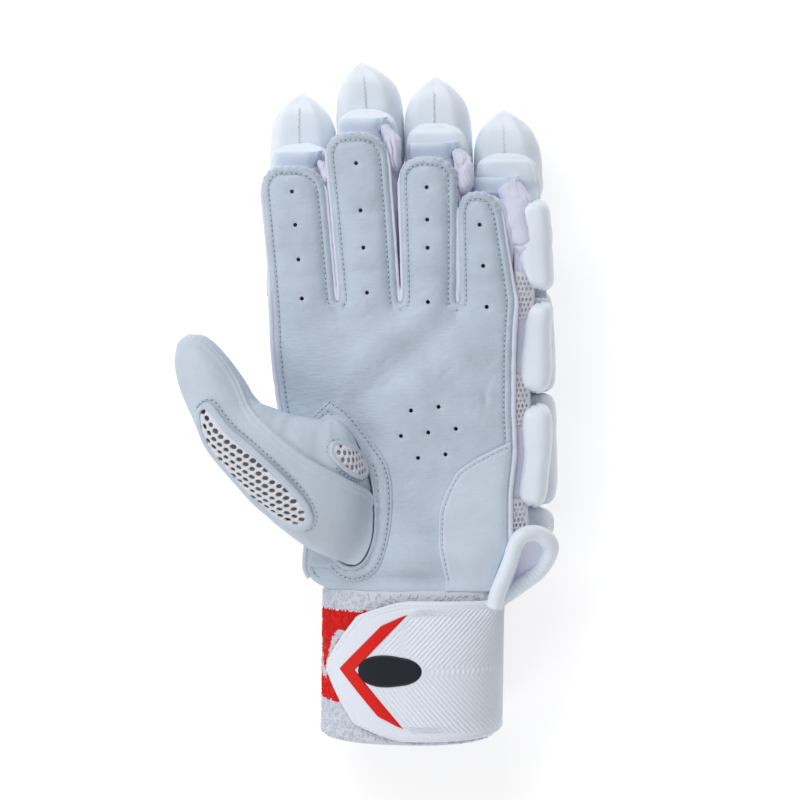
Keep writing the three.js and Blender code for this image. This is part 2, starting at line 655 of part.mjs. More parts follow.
function makeBars() {
  const row = (share) => CROTCH_Y + ROLL_REACH * share;
  makeBar("side_bar_finger", row(0.045), row(0.41));
  makeBar("side_bar_knuckle", row(-0.385), row(-0.012));
  makeBar("side_bar_hand", row(-0.87), row(-0.445));
}

// The thumb: three leather panels, two mesh inserts with a bound rim, and two pads on its back
const OUTER_BACK = 135;
const INNER_BACK = -130;
// The front seam between the thumb's outer and inner panels: at is a share of its length, around degrees.
const FRONT_SEAM = [
  { at: 0, around: 8 },
  { at: 0.15, around: -12 },
  { at: 0.32, around: -28 },
  { at: 0.42, around: -40 },
  { at: 0.55, around: -58 },
  { at: 0.7, around: -66 },
  { at: 0.84, around: -64 },
  { at: 1, around: -38 },
];
// Oval pieces laid on the thumb: from and to are shares of its length, start and end the angles of
// their middle there, half is half their width in degrees.
const MESH_INSERT = { from: 0.19, to: 0.61, start: 39, end: 21, half: 25 };
const WEB_INSERT = { from: 0.05, to: 0.195, start: -19, end: -39, half: 11 };
const LOWER_GUARD = { from: 0.42, to: 0.66, start: 172, end: 172, half: 44 };
const UPPER_GUARD = { from: 0.68, to: 0.93, start: 172, end: 172, half: 46 };

function makeThumb() {
  const fixed = (angle) => () => angle;
  const seam = (side) => (t) => look(FRONT_SEAM, "at", t, "around") + side * SEAM;
  const body = (name, from, to, nu) =>
    add(name, thumbPanel(from, to, 0, 1, 0, THUMB_LEATHER, nu, 12), palmLeather);
  body("thumb_outer", seam(1), fixed(OUTER_BACK - SEAM), 7);
  body("thumb_inner", fixed(INNER_BACK + SEAM), seam(-1), 6);
  body("thumb_back", fixed(OUTER_BACK + SEAM), fixed(360 + INNER_BACK - SEAM), 5);

  // An oval laid on the leather, `over` above it. `more` widens it, in degrees.
  const spread = (oval, v) => oval.half * (1 - Math.abs(2 * v - 1) ** 3.2) ** 0.45;
  const laidOn = (oval, over, swell = 0) => (u, v) => {
    const around = mix(oval.start, oval.end, v) + (2 * u - 1) * spread(oval, v);
    const dome = (1 - (2 * u - 1) ** 2) * (1 - (2 * v - 1) ** 2);
    return thumbPoint(around, mix(oval.from, oval.to, v), over + swell * dome);
  };
  const flat = (name, oval, nu, nv) =>
    add(name, wall(laidOn(oval, 2 * GAP + MESH), laidOn(oval, 2 * GAP), nu, nv), meshFabric);
  flat("thumb_mesh", MESH_INSERT, 6, 9);
  flat("web_mesh", WEB_INSERT, 2, 5);
  const padded = (name, oval) =>
    add(name, wall(laidOn(oval, 1.5, GUARD_THICK), laidOn(oval, 1), 6, 5), whiteLeather);
  padded("thumb_guard_lower", LOWER_GUARD);
  padded("thumb_guard_upper", UPPER_GUARD);

  // The bound rim of the mesh insert
  const { from, to, start, end, half } = MESH_INSERT;
  const rimAt = (u, over, beyond) => {
    const a = 2 * Math.PI * u;
    const wide = Math.sign(Math.cos(a)) * Math.abs(Math.cos(a)) ** 0.8 * (half + beyond);
    const v = 0.5 + 0.5 * Math.sin(a);
    return thumbPoint(mix(start, end, v) + wide, mix(from - beyond / 600, to + beyond / 600, v), over);
  };
  const rim = (over) => (u, v) => rimAt(u, over, mix(3, 3 + 4 * BINDING, v));
  add("thumb_binding", wall(rim(2 * GAP + 1.8 * MESH), rim(2 * GAP), 26, 1, true), palmLeather);
}

// The wristband: an oval tube, deeper towards its open end
const bandTop = HEM_Y - 2 * GAP;
const bandLow = bandTop - BAND_LENGTH;
function bandPoint(angle, y, outward) {
  const t = clamp((bandTop - y) / BAND_LENGTH);
  const deep = mix(BAND_MOUTH, BAND_DEPTH, smooth(t)) / 2;
  const x = mix(0.024, 0, t) * PALM_WIDTH;
  const a = radians(angle);
  const round = (s) => Math.sign(s) * Math.abs(s) ** 0.82;
  const bow = 3 * Math.max(0, Math.sin(a)) * t;
  return new THREE.Vector3(
    x + round(Math.cos(a)) * (BAND_WIDTH / 2 + outward),
    y - bow,
    PALM_Z - deep + round(Math.sin(a)) * (deep + outward),
  );
}

function makeWrist() {
  const tube = (into) => (u, v) => bandPoint(360 * u, mix(bandLow, bandTop, v), -into);
  add("wristband", wall(tube(0), tube(TOWEL), 30, 4, true), towelling);

  // The strap lies on the band from low on the little finger's side, over the front, to its point.
  const perDegree = (Math.PI * (BAND_WIDTH + BAND_DEPTH)) / 4 / 180 * 1.06;
  const middleY = bandTop - STRAP_INSET - STRAP_WIDTH / 2;
  const halfAt = (angle) => {
    const left = (STRAP_END - angle) * perDegree;
    const slope = (STRAP_WIDTH / 2 - STRAP_BEVEL) / STRAP_POINT;
    const point = 2 + left * slope;
    const bevel = STRAP_WIDTH / 2 - STRAP_BEVEL + ((left - STRAP_POINT) * STRAP_BEVEL) / STRAP_SHOULDER;
    return Math.min(point, bevel, STRAP_WIDTH / 2);
  };
  const strap = (lower, upper, from, to, over) => (u, v) => {
    const angle = mix(from, to, u);
    const half = halfAt(angle);
    return bandPoint(angle, middleY + half * mix(lower(angle), upper(angle), v), over);
  };
  const onBand = (over) => (u, v) => {
    const angle = mix(STRAP_START, STRAP_END, u);
    return bandPoint(angle, middleY + halfAt(angle) * (2 * v - 1), over);
  };
  add("strap", wall(onBand(PILE + STRAP_THICK), onBand(PILE), 16, 4), strapRubber);

  // The coloured inlays: a chevron that follows the strap's point, and a plain oval inside it
  const face = PILE + STRAP_THICK + 1.6 * GAP;
  const chevron = (over) => (u, v) => {
    const aside = (2 * u - 1) * CHEVRON.half;
    const up = Math.abs(aside);
    const inner = CHEVRON.inner + up * CHEVRON.innerLean;
    const outer = CHEVRON.outer + up * CHEVRON.outerLean;
    const closing = clamp((up - CHEVRON.bend) / (CHEVRON.half - CHEVRON.bend));
    const back = mix(mix(outer, inner, closing), inner, v);
    return bandPoint(STRAP_END - back / perDegree, middleY + aside, face + over);
  };
  add("strap_chevron", wall(chevron(INLAY), chevron(0), 12, 2), redRubber);
  const oval = (over) => (u, v) => {
    const a = 2 * Math.PI * u;
    const back = BADGE.back + BADGE.long * v * Math.cos(a);
    return bandPoint(STRAP_END - back / perDegree, middleY + BADGE.wide * v * Math.sin(a), face + over);
  };
  add("strap_badge", wall(oval(INLAY), oval(0), 14, 2, true), darkRubber);
}
// Along the strap from its point: the chevron's two edges and how far they lean back; it narrows from
// bend to nothing at half its height.
const CHEVRON = { outer: 3.8, inner: 10.8, outerLean: 0.87, innerLean: 0.98, bend: 19.8, half: 24.8 };
const BADGE = { back: 27, long: 9, wide: 6 };
const PILE = 1; // loops of towelling under the strap
const STRAP_START = -48; // degrees round the band, where the strap is sewn on
const STRAP_END = 144; // where its point lies
const STRAP_BEVEL = 6;

// The wrist gusset on the little finger's side: a padded rim round the opening, and the cloth behind it
const GUSSET_PATH = [
  { x: 0.3885, y: 0.004, z: 0.92 },
  { x: 0.434, y: 0.105, z: 0.93 },
  { x: 0.472, y: 0.19, z: 0.915 },
  { x: 0.54, y: 0.213, z: 0.85 },
  { x: 0.597, y: 0.18, z: 0.76 },
  { x: 0.6, y: 0.13, z: 0.68 },
  { x: 0.55, y: 0.06, z: 0.6 },
  { x: 0.42, y: -0.01, z: 0.55 },
];
function makeGusset() {
  const points = GUSSET_PATH.map(({ x, y, z }) =>
    new THREE.Vector3(PALM_WIDTH * x, HEM_Y + PALM_LENGTH * y, PALM_Z * z),
  );
  const path = new THREE.CatmullRomCurve3(points);
  const section = new THREE.Shape(
    ring(0, 0, RIM_RADIUS, 8).map(([x, y]) => new THREE.Vector2(x, y)),
  );
  const rim = new THREE.ExtrudeGeometry(section, { steps: 14, extrudePath: path });
  rim.deleteAttribute("normal");
  rim.deleteAttribute("uv");
  add("gusset_rim", mergeVertices(rim, 1e-3), whiteLeather);

  // The cloth inside the rim, drawn in towards the hand
  const deep = new THREE.Vector3(PALM_WIDTH * 0.475, HEM_Y + PALM_LENGTH * 0.09, PALM_Z * 0.6);
  const cloth = (behind) => (u, v) => {
    const p = path.getPointAt(mix(0.04, 0.96, u));
    const inward = deep.clone().sub(p);
    const start = (RIM_RADIUS + 4 * GAP) / inward.length();
    const point = p.addScaledVector(inward, mix(start, 0.86, v));
    point.z -= 7 * Math.sin((Math.PI * v) / 2) + behind;
    return point;
  };
  add("gusset_panel", wall(cloth(0), cloth(KNIT), 8, 4), knit);
}

makePalm();
FINGERS.forEach((finger, column) => {
  makeStall(finger);
  makePad(finger, column);
  makeElastic(finger, column);
});
makeRolls();
makeBackPanel();
makeBars();
makeThumb();
makeWrist();
makeGusset();

const glove = new THREE.Group();
glove.name = "cricket_batting_glove";
for (const { name, geometry, material } of pieces) {
  const mesh = new THREE.Mesh(curled(geometry), material);
  mesh.name = name;
  glove.add(mesh);
}

// The origin is the middle of the underside of the glove's box.
const box = new THREE.Box3().setFromObject(glove, true);
const middle = box.getCenter(new THREE.Vector3());
glove.position.set(-middle.x, -middle.y, -box.min.z);

export default glove;
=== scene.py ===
# The looks of a left-hand cricket batting glove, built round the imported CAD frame.
# Millimetres until a mesh is made; the shapes follow the same formulas as part.mjs.
import math

import bpy
import numpy as np
from mathutils import Matrix, Vector
from mathutils.geometry import delaunay_2d_cdt


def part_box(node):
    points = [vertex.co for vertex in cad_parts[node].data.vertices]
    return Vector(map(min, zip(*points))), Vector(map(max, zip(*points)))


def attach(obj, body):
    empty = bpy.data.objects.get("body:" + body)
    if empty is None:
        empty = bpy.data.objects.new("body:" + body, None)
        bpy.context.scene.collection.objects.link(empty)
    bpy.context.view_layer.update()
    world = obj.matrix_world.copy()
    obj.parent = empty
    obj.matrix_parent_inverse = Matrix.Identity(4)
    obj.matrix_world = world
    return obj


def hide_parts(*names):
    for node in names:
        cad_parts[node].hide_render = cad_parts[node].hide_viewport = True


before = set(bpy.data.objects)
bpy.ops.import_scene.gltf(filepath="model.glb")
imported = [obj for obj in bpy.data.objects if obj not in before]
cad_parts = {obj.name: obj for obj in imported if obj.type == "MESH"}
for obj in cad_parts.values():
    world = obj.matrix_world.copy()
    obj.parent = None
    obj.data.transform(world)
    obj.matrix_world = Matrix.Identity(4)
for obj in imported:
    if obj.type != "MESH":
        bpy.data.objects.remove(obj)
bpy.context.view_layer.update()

rng = np.random.default_rng(11)

# ---------------------------------------------------------------- numbers of the CAD part
PALM_WIDTH, PALM_LENGTH, CROTCH_Y, REACH = 112.0, 132.0, 45.0, 75.0
HEM_Y, PALM_Z, ROLL_THICK, ROLL_REACH = -87.0, 50.1, 22.0, 107.5
GAP, LEATHER, PATCH, BAND_LENGTH, BAND_HALF = 0.3, 1.2, 1.0, 66.5, 40.0
ROLLS_WIDE, PAD_REACH, PAD_ROOT, PAD_END = 128.0, 86.0, 1.5, 8.0
CURL, SIDE_FLARE, STALL_BULGE = 11.0, 7.0, 18.0
NAMES = ["index", "middle", "ring", "little"]
BASE = [-0.4, -0.132, 0.115, 0.348]
TIP = [-0.445, -0.182, 0.11, 0.312]
HALF_BASE = [0.13, 0.12, 0.108, 0.112]
HALF_TIP = [0.13, 0.125, 0.118, 0.082]
LENGTH = [0.8, 1.0, 0.853, 0.645]
BULGE = [0.04, 0.12, 0.12, 0.26]
ROLL = [0.868, 1.0, 0.934, 0.796]
PAD = [0.82, 1.0, 0.924, 0.766]
JOINT = [0.5, 0.52, 0.52, 0.52]
LEAN = [0.0, -0.22, 0.0, -0.05]
VENTS = [[0.007, 0.3, 0.56, 0.81], [0.043, 0.313, 0.535, 0.817],
         [-0.012, 0.367, 0.564, 0.79], [-0.06, 0.32, 0.7]]
EDGE_DOWN = [0, 0.18, 0.36, 0.51, 0.68, 0.82, 0.92, 0.975, 1]
EDGE_LEFT = [-0.53, -0.523, -0.5, -0.46, -0.411, -0.386, -0.396, -0.365, -0.305]
EDGE_RIGHT = [0.46, 0.447, 0.445, 0.452, 0.434, 0.436, 0.398, 0.376, 0.362]
ROLL_UP = [-1.06, -0.9, -0.4, 0, 0.62, 1]
ROLL_LEFT = [-0.37, -0.4, -0.48, -0.526, -0.516, -0.512]
ROLL_RIGHT = [0.5, 0.525, 0.52, 0.504, 0.467, 0.455]
ROW_KNUCKLE, ROW_HAND, ROW_WRIST, ROW_END = 0.03, -0.41, -0.89, -1.05
THUMB_LENGTH, THUMB_ROOT = 97.0, 33.0
THUMB = np.array([  # x, y, rise, across, deep, turn, yaw
    (-0.273, -0.44, 0, 1, 0.42, 0, -10), (-0.355, -0.385, 0.62, 0.9, 0.48, 36, 12),
    (-0.49, -0.305, 0.86, 0.74, 0.5, 64, 31), (-0.645, -0.195, 0.96, 0.57, 0.47, 84, 43),
    (-0.76, -0.105, 1, 0.48, 0.44, 90, 49), (-0.832, 0.018, 1, 0.44, 0.42, 90, 54),
    (-0.893, 0.125, 1, 0.39, 0.385, 90, 56), (-0.958, 0.23, 1, 0.285, 0.29, 90, 50),
    (-0.99, 0.275, 1, 0.12, 0.13, 90, 46)])
SEAM_AT = [0, 0.15, 0.32, 0.42, 0.55, 0.7, 0.84, 1]
SEAM_AROUND = [8, -12, -28, -40, -58, -66, -64, -38]
# The scene's origin in the hand's millimetres
SHIFT = np.array([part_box("wristband")[0][0] * 1000 + BAND_HALF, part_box("palm")[0][1] * 1000 - HEM_Y, 0.0])

# ---------------------------------------------------------------- small helpers
mix = lambda a, b, t: a + (b - a) * t
clamp = lambda t, lo=0.0, hi=1.0: np.minimum(hi, np.maximum(lo, t))
smooth = lambda t: clamp(t) ** 2 * (3 - 2 * clamp(t))
power = lambda s, e: np.sign(s) * np.abs(s) ** e
bump = lambda d, wide: np.exp(-((d / wide) ** 2))
unit = lambda v: v / np.maximum(np.linalg.norm(v, axis=-1, keepdims=True), 1e-9)
stacked = lambda x, y, z: np.stack(np.broadcast_arrays(x, y, z), -1)
turns = lambda count, offset=0.0: 2 * np.pi * (np.arange(count) + offset) / count
eased = lambda margin, count: (1 - np.cos(np.linspace(margin, np.pi - margin, count))) / 2


def lengths(line):
    """How far along a line each of its points lies."""
    return np.concatenate([[0], np.cumsum(np.linalg.norm(np.diff(line, axis=0), axis=1))])


def left_of(line, closed=True):
    """Unit vectors to the left of a flat line."""
    step = np.roll(line, -1, 0) - np.roll(line, 1, 0) if closed else np.gradient(line, axis=0)
    return unit(np.stack([-step[:, 1], step[:, 0]], 1))


def turning(loop):
    """1 where a flat loop runs anticlockwise, otherwise -1."""
    x, y = loop.T
    return 1 if (x * np.roll(y, -1) - y * np.roll(x, -1)).sum() > 0 else -1


def curve(xs, ys, x):
    """A smooth line through a table's points that never overshoots them."""
    xs, ys = np.asarray(xs, float), np.asarray(ys, float)
    h = np.diff(xs)
    d = np.diff(ys) / h
    m = np.zeros_like(ys)
    same = d[:-1] * d[1:] > 0
    w1, w2 = 2 * h[1:] + h[:-1], h[1:] + 2 * h[:-1]
    safe = np.where(same, d[:-1], 1), np.where(same, d[1:], 1)
    m[1:-1] = np.where(same, (w1 + w2) / (w1 / safe[0] + w2 / safe[1]), 0)
    m[0], m[-1] = d[0], d[-1]
    x = np.clip(x, xs[0], xs[-1])
    i = np.clip(np.searchsorted(xs, x, side="right") - 1, 0, len(h) - 1)
    t = (x - xs[i]) / h[i]
    return ((2 * t**3 - 3 * t**2 + 1) * ys[i] + (t**3 - 2 * t**2 + t) * h[i] * m[i]
            + (3 * t**2 - 2 * t**3) * ys[i + 1] + (t**3 - t**2) * h[i] * m[i + 1])


def hashed(cell, seed):
    """A fixed value from -1 to 1 for each cell of a lattice."""
    c = cell.astype(np.int64).astype(np.uint64)
    h = c[..., 0] * np.uint64(73856093) ^ c[..., 1] * np.uint64(19349663) ^ c[..., 2] * np.uint64(83492791)
    h = (h ^ np.uint64(seed * 7919 + 13)) & np.uint64(0xFFFFFFFF)
    for k in (2246822519, 3266489917):
        h = ((h ^ (h >> np.uint64(15))) * np.uint64(k)) & np.uint64(0xFFFFFFFF)
    return (h ^ (h >> np.uint64(16))).astype(float) / 2**31 - 1


def noise(p, size, seed):
    """Smooth random values from -1 to 1 over points p (n x 2 or n x 3), in lumps of that size."""
    p = np.asarray(p, float) / size
    if p.shape[-1] == 2:
        p = np.concatenate([p, np.zeros(p.shape[:-1] + (1,))], -1)
    cell = np.floor(p)
    f = p - cell
    f = f * f * (3 - 2 * f)
    total = 0
    for i in (0, 1):
        for j in (0, 1):
            for k in (0, 1):
                w = (f[..., 0] if i else 1 - f[..., 0]) * (f[..., 1] if j else 1 - f[..., 1])
                w = w * (f[..., 2] if k else 1 - f[..., 2])
                total = total + w * hashed(cell + [i, j, k], seed)
    return total


# ---------------------------------------------------------------- where the hand's surfaces are
def finger_top(k):
    return CROTCH_Y + REACH * LENGTH[k]


def finger_along(k, y):
    return (y - CROTCH_Y) / (REACH * LENGTH[k])


def middle_x(k, y):
    return PALM_WIDTH * mix(BASE[k], TIP[k], clamp(finger_along(k, y), -0.3, 1))


def half_x(k, y):
    return PALM_WIDTH * mix(HALF_BASE[k], HALF_TIP[k], clamp(finger_along(k, y), -0.3, 1))


def edge_x(side, y):
    return PALM_WIDTH * curve(EDGE_DOWN, EDGE_LEFT if side < 0 else EDGE_RIGHT, (CROTCH_Y - y) / PALM_LENGTH)


def lift(y):
    return CURL * clamp((y - CROTCH_Y) / ROLL_REACH, 0, 2) ** 2


def palm_top(x, y):
    shares = np.stack([(x - middle_x(k, y)) / half_x(k, y) for k in range(4)])
    near = np.argmin(np.abs(shares), 0)
    share = clamp(np.take_along_axis(shares, near[None], 0)[0], -1.6, 1.6)
    left, right = edge_x(-1, y), edge_x(1, y)
    across = clamp(np.abs(x - (left + right) / 2) / ((right - left) / 2), 0, 1.15)
    return PALM_Z - mix(5.0 * across**4, 3.4 * share**2, smooth((y - CROTCH_Y + 16) / 18))


pad_thick = lambda y: mix(PAD_ROOT, PAD_END, clamp((y - CROTCH_Y) / REACH))
stall_floor = lambda y: ROLL_THICK + pad_thick(y) + 2 * GAP
under_leather = lambda x, y: palm_top(x, y) - LEATHER - 1.3
roll_y = lambda share: CROTCH_Y + ROLL_REACH * share


def column_x(k, y):
    up = (y - CROTCH_Y) / ROLL_REACH
    return ROLLS_WIDE * mix(curve(ROLL_UP, ROLL_LEFT, up), curve(ROLL_UP, ROLL_RIGHT, up), k / 4)


column_middle = lambda k, y: column_x(k + 0.5, y)
column_half = lambda k, y: (column_x(k + 1, y) - column_x(k, y) - GAP) / 2
side_flare = lambda y: SIDE_FLARE * smooth((y - HEM_Y) / 25)


def thumb(around, t, outward):
    """A point of the thumb's surface: degrees round it, share along it, millimetres outside it."""
    around, t, outward = np.broadcast_arrays(np.asarray(around, float), np.asarray(t, float), outward)
    at = np.clip(t, 0, 1) * (len(THUMB) - 1)
    i = np.minimum(np.floor(at).astype(int), len(THUMB) - 2)
    f = (at - i)[..., None]
    a, b, c, d = (THUMB[np.clip(i + k, 0, len(THUMB) - 1)] for k in (-1, 0, 1, 2))
    row = b + 0.5 * ((c - a) * f + (2 * a - 5 * b + 4 * c - d) * f**2 + (3 * (b - c) + d - a) * f**3)
    x, y, rise, across, deep, turn, yaw = (row[..., k] for k in range(7))
    past = clamp((t - 0.965) / 0.075)  # beyond 1 the tip closes in a dome
    closing = np.sqrt(np.maximum(1 - past**2, 0))
    yaw, turn = np.radians(yaw), np.radians(turn)
    wide = (THUMB_ROOT * across + outward) * closing
    high = (THUMB_ROOT * deep + outward) * closing
    a = np.radians(around)
    level = np.cos(turn)
    zero = np.zeros_like(yaw)
    p = np.stack([THUMB_LENGTH * x, THUMB_LENGTH * y, zero], -1)
    p = p + np.stack([-np.sin(yaw), -np.cos(yaw), zero], -1) * (wide * np.sin(a))[..., None]
    p = p + np.stack([level * np.cos(yaw), -level * np.sin(yaw), np.sin(turn)], -1) * (high * np.cos(a))[..., None]
    root = palm_top(p[..., 0], p[..., 1]) + PATCH + 2 * GAP
    z = p[..., 2] + mix(root, PALM_Z + 15 * rise, smooth(rise / 0.5)) + lift(p[..., 1])
    axis = np.stack([-np.cos(yaw), np.sin(yaw), zero], -1)
    return np.stack([p[..., 0], p[..., 1], z], -1) + axis * (1.2 * past)[..., None]


BAND_TOP = HEM_Y - 2 * GAP
BAND_LOW = BAND_TOP - BAND_LENGTH


def band(angle, y, outward):
    """A point of the wristband: degrees round it from the little finger's side, over the front."""
    t = clamp((BAND_TOP - y) / BAND_LENGTH)
    deep = mix(30.0, 50.0, smooth(t)) / 2
    a = np.radians(angle)
    c, s = power(np.cos(a), 0.82), power(np.sin(a), 0.82)
    x = mix(0.024, 0, t) * PALM_WIDTH + c * (BAND_HALF + outward)
    return stacked(x, y - 3 * np.maximum(0, np.sin(a)) * t, PALM_Z - deep + s * (deep + outward))


# ---------------------------------------------------------------- meshes
def add(name, data):
    thing = bpy.data.objects.new(name, data)
    bpy.context.scene.collection.objects.link(thing)
    return thing


def make(name, points, faces, materials, node=None, slot=None, face_materials=None, pad=None):
    """One mesh object from points in millimetres; it rides the root and may stand for a CAD node."""
    points = np.asarray(points, float).reshape(-1, 3)
    faces = [np.asarray(f, int) for f in (faces if isinstance(faces, list) else [faces])]
    volume = 0.0  # its sign says whether the faces look outwards
    for f in faces:
        for k in range(1, f.shape[1] - 1):
            a, b, c = points[f[:, 0]], points[f[:, k]], points[f[:, k + 1]]
            volume += np.einsum("ij,ij->", a, np.cross(b, c))
    if volume < 0:
        faces = [f[:, ::-1] for f in faces]
    mesh = bpy.data.meshes.new(name)
    mesh.from_pydata(((points + SHIFT) / 1000).tolist(), [], [row for f in faces for row in f.tolist()])
    for material in materials if isinstance(materials, (list, tuple)) else [materials]:
        mesh.materials.append(material)
    if face_materials is not None:
        mesh.polygons.foreach_set("material_index", np.asarray(face_materials, np.int32))
    mesh.polygons.foreach_set("use_smooth", np.ones(len(mesh.polygons), bool))
    mesh.update()
    thing = add(name, mesh)
    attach(thing, "root")
    if node:
        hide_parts(node)
    return thing


def second_material(thing, picked):
    """Gives the mesh's first faces its second material where picked is true."""
    index = np.zeros(len(thing.data.polygons), np.int32)
    index[: picked.size] = picked.ravel()
    thing.data.polygons.foreach_set("material_index", index)


def quads(nv, nu, wrap_u=False, wrap_v=False, start=0):
    """Faces of a grid of nv rows of nu points."""
    j, i = np.meshgrid(np.arange(nv if wrap_v else nv - 1), np.arange(nu if wrap_u else nu - 1), indexing="ij")
    j, i = j.ravel(), i.ravel()
    at = lambda r, c: start + (r % nv) * nu + c % nu
    return np.stack([at(j, i), at(j, i + 1), at(j + 1, i + 1), at(j + 1, i)], 1)


def shell(name, outer, inner, *rest, wrap=False, **more):
    """A wall between two grids of points with the same rows and columns."""
    nv, nu = outer.shape[:2]
    count = nv * nu
    faces = [quads(nv, nu, wrap), quads(nv, nu, wrap, start=count)[:, ::-1]]
    rim = [np.arange(nu), (nv - 1) * nu + np.arange(nu)[::-1]]
    if wrap:
        rim = [np.append(r, r[0]) for r in rim]
    else:
        loop = [rim[0], nu * np.arange(1, nv) + nu - 1, rim[1][1:], nu * np.arange(nv - 2, -1, -1)]
        rim = [np.concatenate(loop)]
    for r in rim:
        faces.append(np.stack([r[1:], r[:-1], r[:-1] + count, r[1:] + count], 1))
    return make(name, np.concatenate([outer.reshape(-1, 3), inner.reshape(-1, 3)]), faces, *rest, **more)


def sausage(name, rings, *rest, **more):
    """A body through closed rings of points; both ends are drawn together to a point."""
    nv, nu = rings.shape[:2]
    ends = np.stack([rings[0].mean(0), rings[-1].mean(0)])
    i = np.arange(nu)
    caps = [np.stack([np.roll(i, -1), i, np.full(nu, nv * nu)], 1),
            np.stack([i, np.roll(i, -1), np.full(nu, 1)], 1) + [(nv - 1) * nu, (nv - 1) * nu, nv * nu]]
    return make(name, np.concatenate([rings.reshape(-1, 3), ends]), [quads(nv, nu, True)] + caps, *rest, **more)


def normals_of(grid):
    """Unit normals of a grid of points."""
    return unit(np.cross(np.gradient(grid, axis=1), np.gradient(grid, axis=0)))


def ring_normals(rings):
    """Unit normals of closed rings of points, all to the same side."""
    return unit(np.cross(np.roll(rings, -1, 1) - np.roll(rings, 1, 1), np.gradient(rings, axis=0)))


def inside(points, polygon):
    """Which points lie inside a polygon."""
    hit = np.zeros(len(points), bool)
    a, b = polygon, np.roll(polygon, -1, 0)
    for (x0, y0), (x1, y1) in zip(a, b):
        if y0 == y1:
            continue
        crosses = (points[:, 1] < y0) != (points[:, 1] < y1)
        hit ^= crosses & (points[:, 0] < (x1 - x0) * (points[:, 1] - y0) / (y1 - y0) + x0)
    return hit


def from_edge(points, line, closed=True):
    """Distance of each point to a line of points, and how far along the line the nearest place is."""
    a = line
    b = np.roll(line, -1, 0) if closed else line[1:]
    a = a[: len(b)]
    step = b - a
    size = np.maximum((step**2).sum(1), 1e-12)
    along = np.concatenate([[0], np.cumsum(np.sqrt(size))[:-1]])
    best, place = np.empty(len(points)), np.empty(len(points))
    for s in range(0, len(points), 1500):
        p = points[s : s + 1500]
        t = clamp(((p[:, None] - a) * step).sum(2) / size)
        d = np.linalg.norm(p[:, None] - a - step * t[..., None], axis=2)
        k = np.argmin(d, 1)
        row = np.arange(len(p))
        best[s : s + 1500], place[s : s + 1500] = d[row, k], along[k] + t[row, k] * np.sqrt(size[k])
    return best, place


def resample(line, pitch, closed=False):
    """The same line with points every `pitch` along it."""
    line = np.asarray(line, float)
    if closed:
        line = np.concatenate([line, line[:1]])
    length = lengths(line)
    count = max(int(round(length[-1] / pitch)), 3)
    at = np.linspace(0, length[-1], count + 1)
    if closed:
        at = at[:-1]
    return np.stack([np.interp(at, length, line[:, k]) for k in range(line.shape[1])], 1)


def cut(outline, holes, cell, rings=(), hole_rings=()):
    """A flat sheet of triangles inside an outline with holes. Points follow both edges at the distances
    given and a hexagonal lattice fills the rest. Returns the points, the triangles and the resampled outline."""
    outline = resample(outline, cell, True)
    loops = [outline] + [np.asarray(h, float) for h in holes]
    points, borders, edges = list(loops), [], 0
    for loop in loops:
        i = edges + np.arange(len(loop))
        borders += np.stack([i, np.roll(i, -1)], 1).tolist()
        edges += len(loop)
    low, high = outline.min(0), outline.max(0)
    xs, ys = np.arange(low[0], high[0], cell), np.arange(low[1], high[1], cell * 0.866)
    gx, gy = np.meshgrid(xs, ys)
    gx = gx + (np.arange(len(ys)) % 2)[:, None] * cell / 2
    lattice = np.stack([gx.ravel(), gy.ravel()], 1)
    lattice = lattice[inside(lattice, outline)]
    keep = from_edge(lattice, outline)[0] > max([0, *rings]) + 0.55 * cell
    lattice = lattice[keep]
    for hole in holes:
        near = np.linalg.norm(lattice - hole.mean(0), axis=1) < np.ptp(hole) + 6 * cell
        bad = np.zeros(len(lattice), bool)
        close = from_edge(lattice[near], hole)[0] < max([0, *hole_rings]) + 0.5 * cell
        bad[near] = close | inside(lattice[near], hole)
        lattice = lattice[~bad]
    points.append(lattice)
    for k, loop in enumerate(loops):
        side = left_of(loop) * turning(loop) * (1 if k == 0 else -1)
        for n, d in enumerate(rings if k == 0 else hole_rings):
            moved = loop + side * d
            moved = moved[inside(moved, outline)]
            if not len(moved):
                continue
            good = from_edge(moved, loop)[0] > d - 0.06
            good &= from_edge(moved, outline)[0] > d * 0.98 - 0.06
            points.append(moved[good])
    points = np.concatenate(points)
    out = delaunay_2d_cdt([Vector(p) for p in points.tolist()], borders, [], 0, 1e-5)
    flat, triangles = np.array([tuple(v) for v in out[0]]), np.array(out[2])
    middle = flat[triangles].mean(1)
    keep = inside(middle, outline)
    for hole in holes:
        near = np.linalg.norm(middle - hole.mean(0), axis=1) < np.ptp(hole)
        keep[np.where(near)[0][inside(middle[near], hole)]] = False
    return flat, triangles[keep], outline


def thick(name, top, under, triangles, *rest, **more):
    """A sheet between two sets of points with the same triangles, closed along its edges."""
    used, index = np.unique(triangles, return_inverse=True)
    triangles = index.reshape(triangles.shape)
    top, under = top[used], under[used]
    sides = np.concatenate([triangles[:, [0, 1]], triangles[:, [1, 2]], triangles[:, [2, 0]]])
    keys = {tuple(s) for s in sides.tolist()}
    rim = np.array([s for s in keys if (s[1], s[0]) not in keys])
    n = len(top)
    band_faces = np.stack([rim[:, 1], rim[:, 0], rim[:, 0] + n, rim[:, 1] + n], 1)
    faces = [triangles, triangles[:, ::-1] + n, band_faces]
    return make(name, np.concatenate([top, under]), faces, *rest, **more)


CAPSULE_AT = np.array([-1, -0.72, 0, 0.72, 1.0])  # shares of half its length, and how wide it is there
CAPSULE_WIDE = np.array([0.35, 0.86, 1, 0.86, 0.35])
STITCH = 2.3  # from stitch to stitch


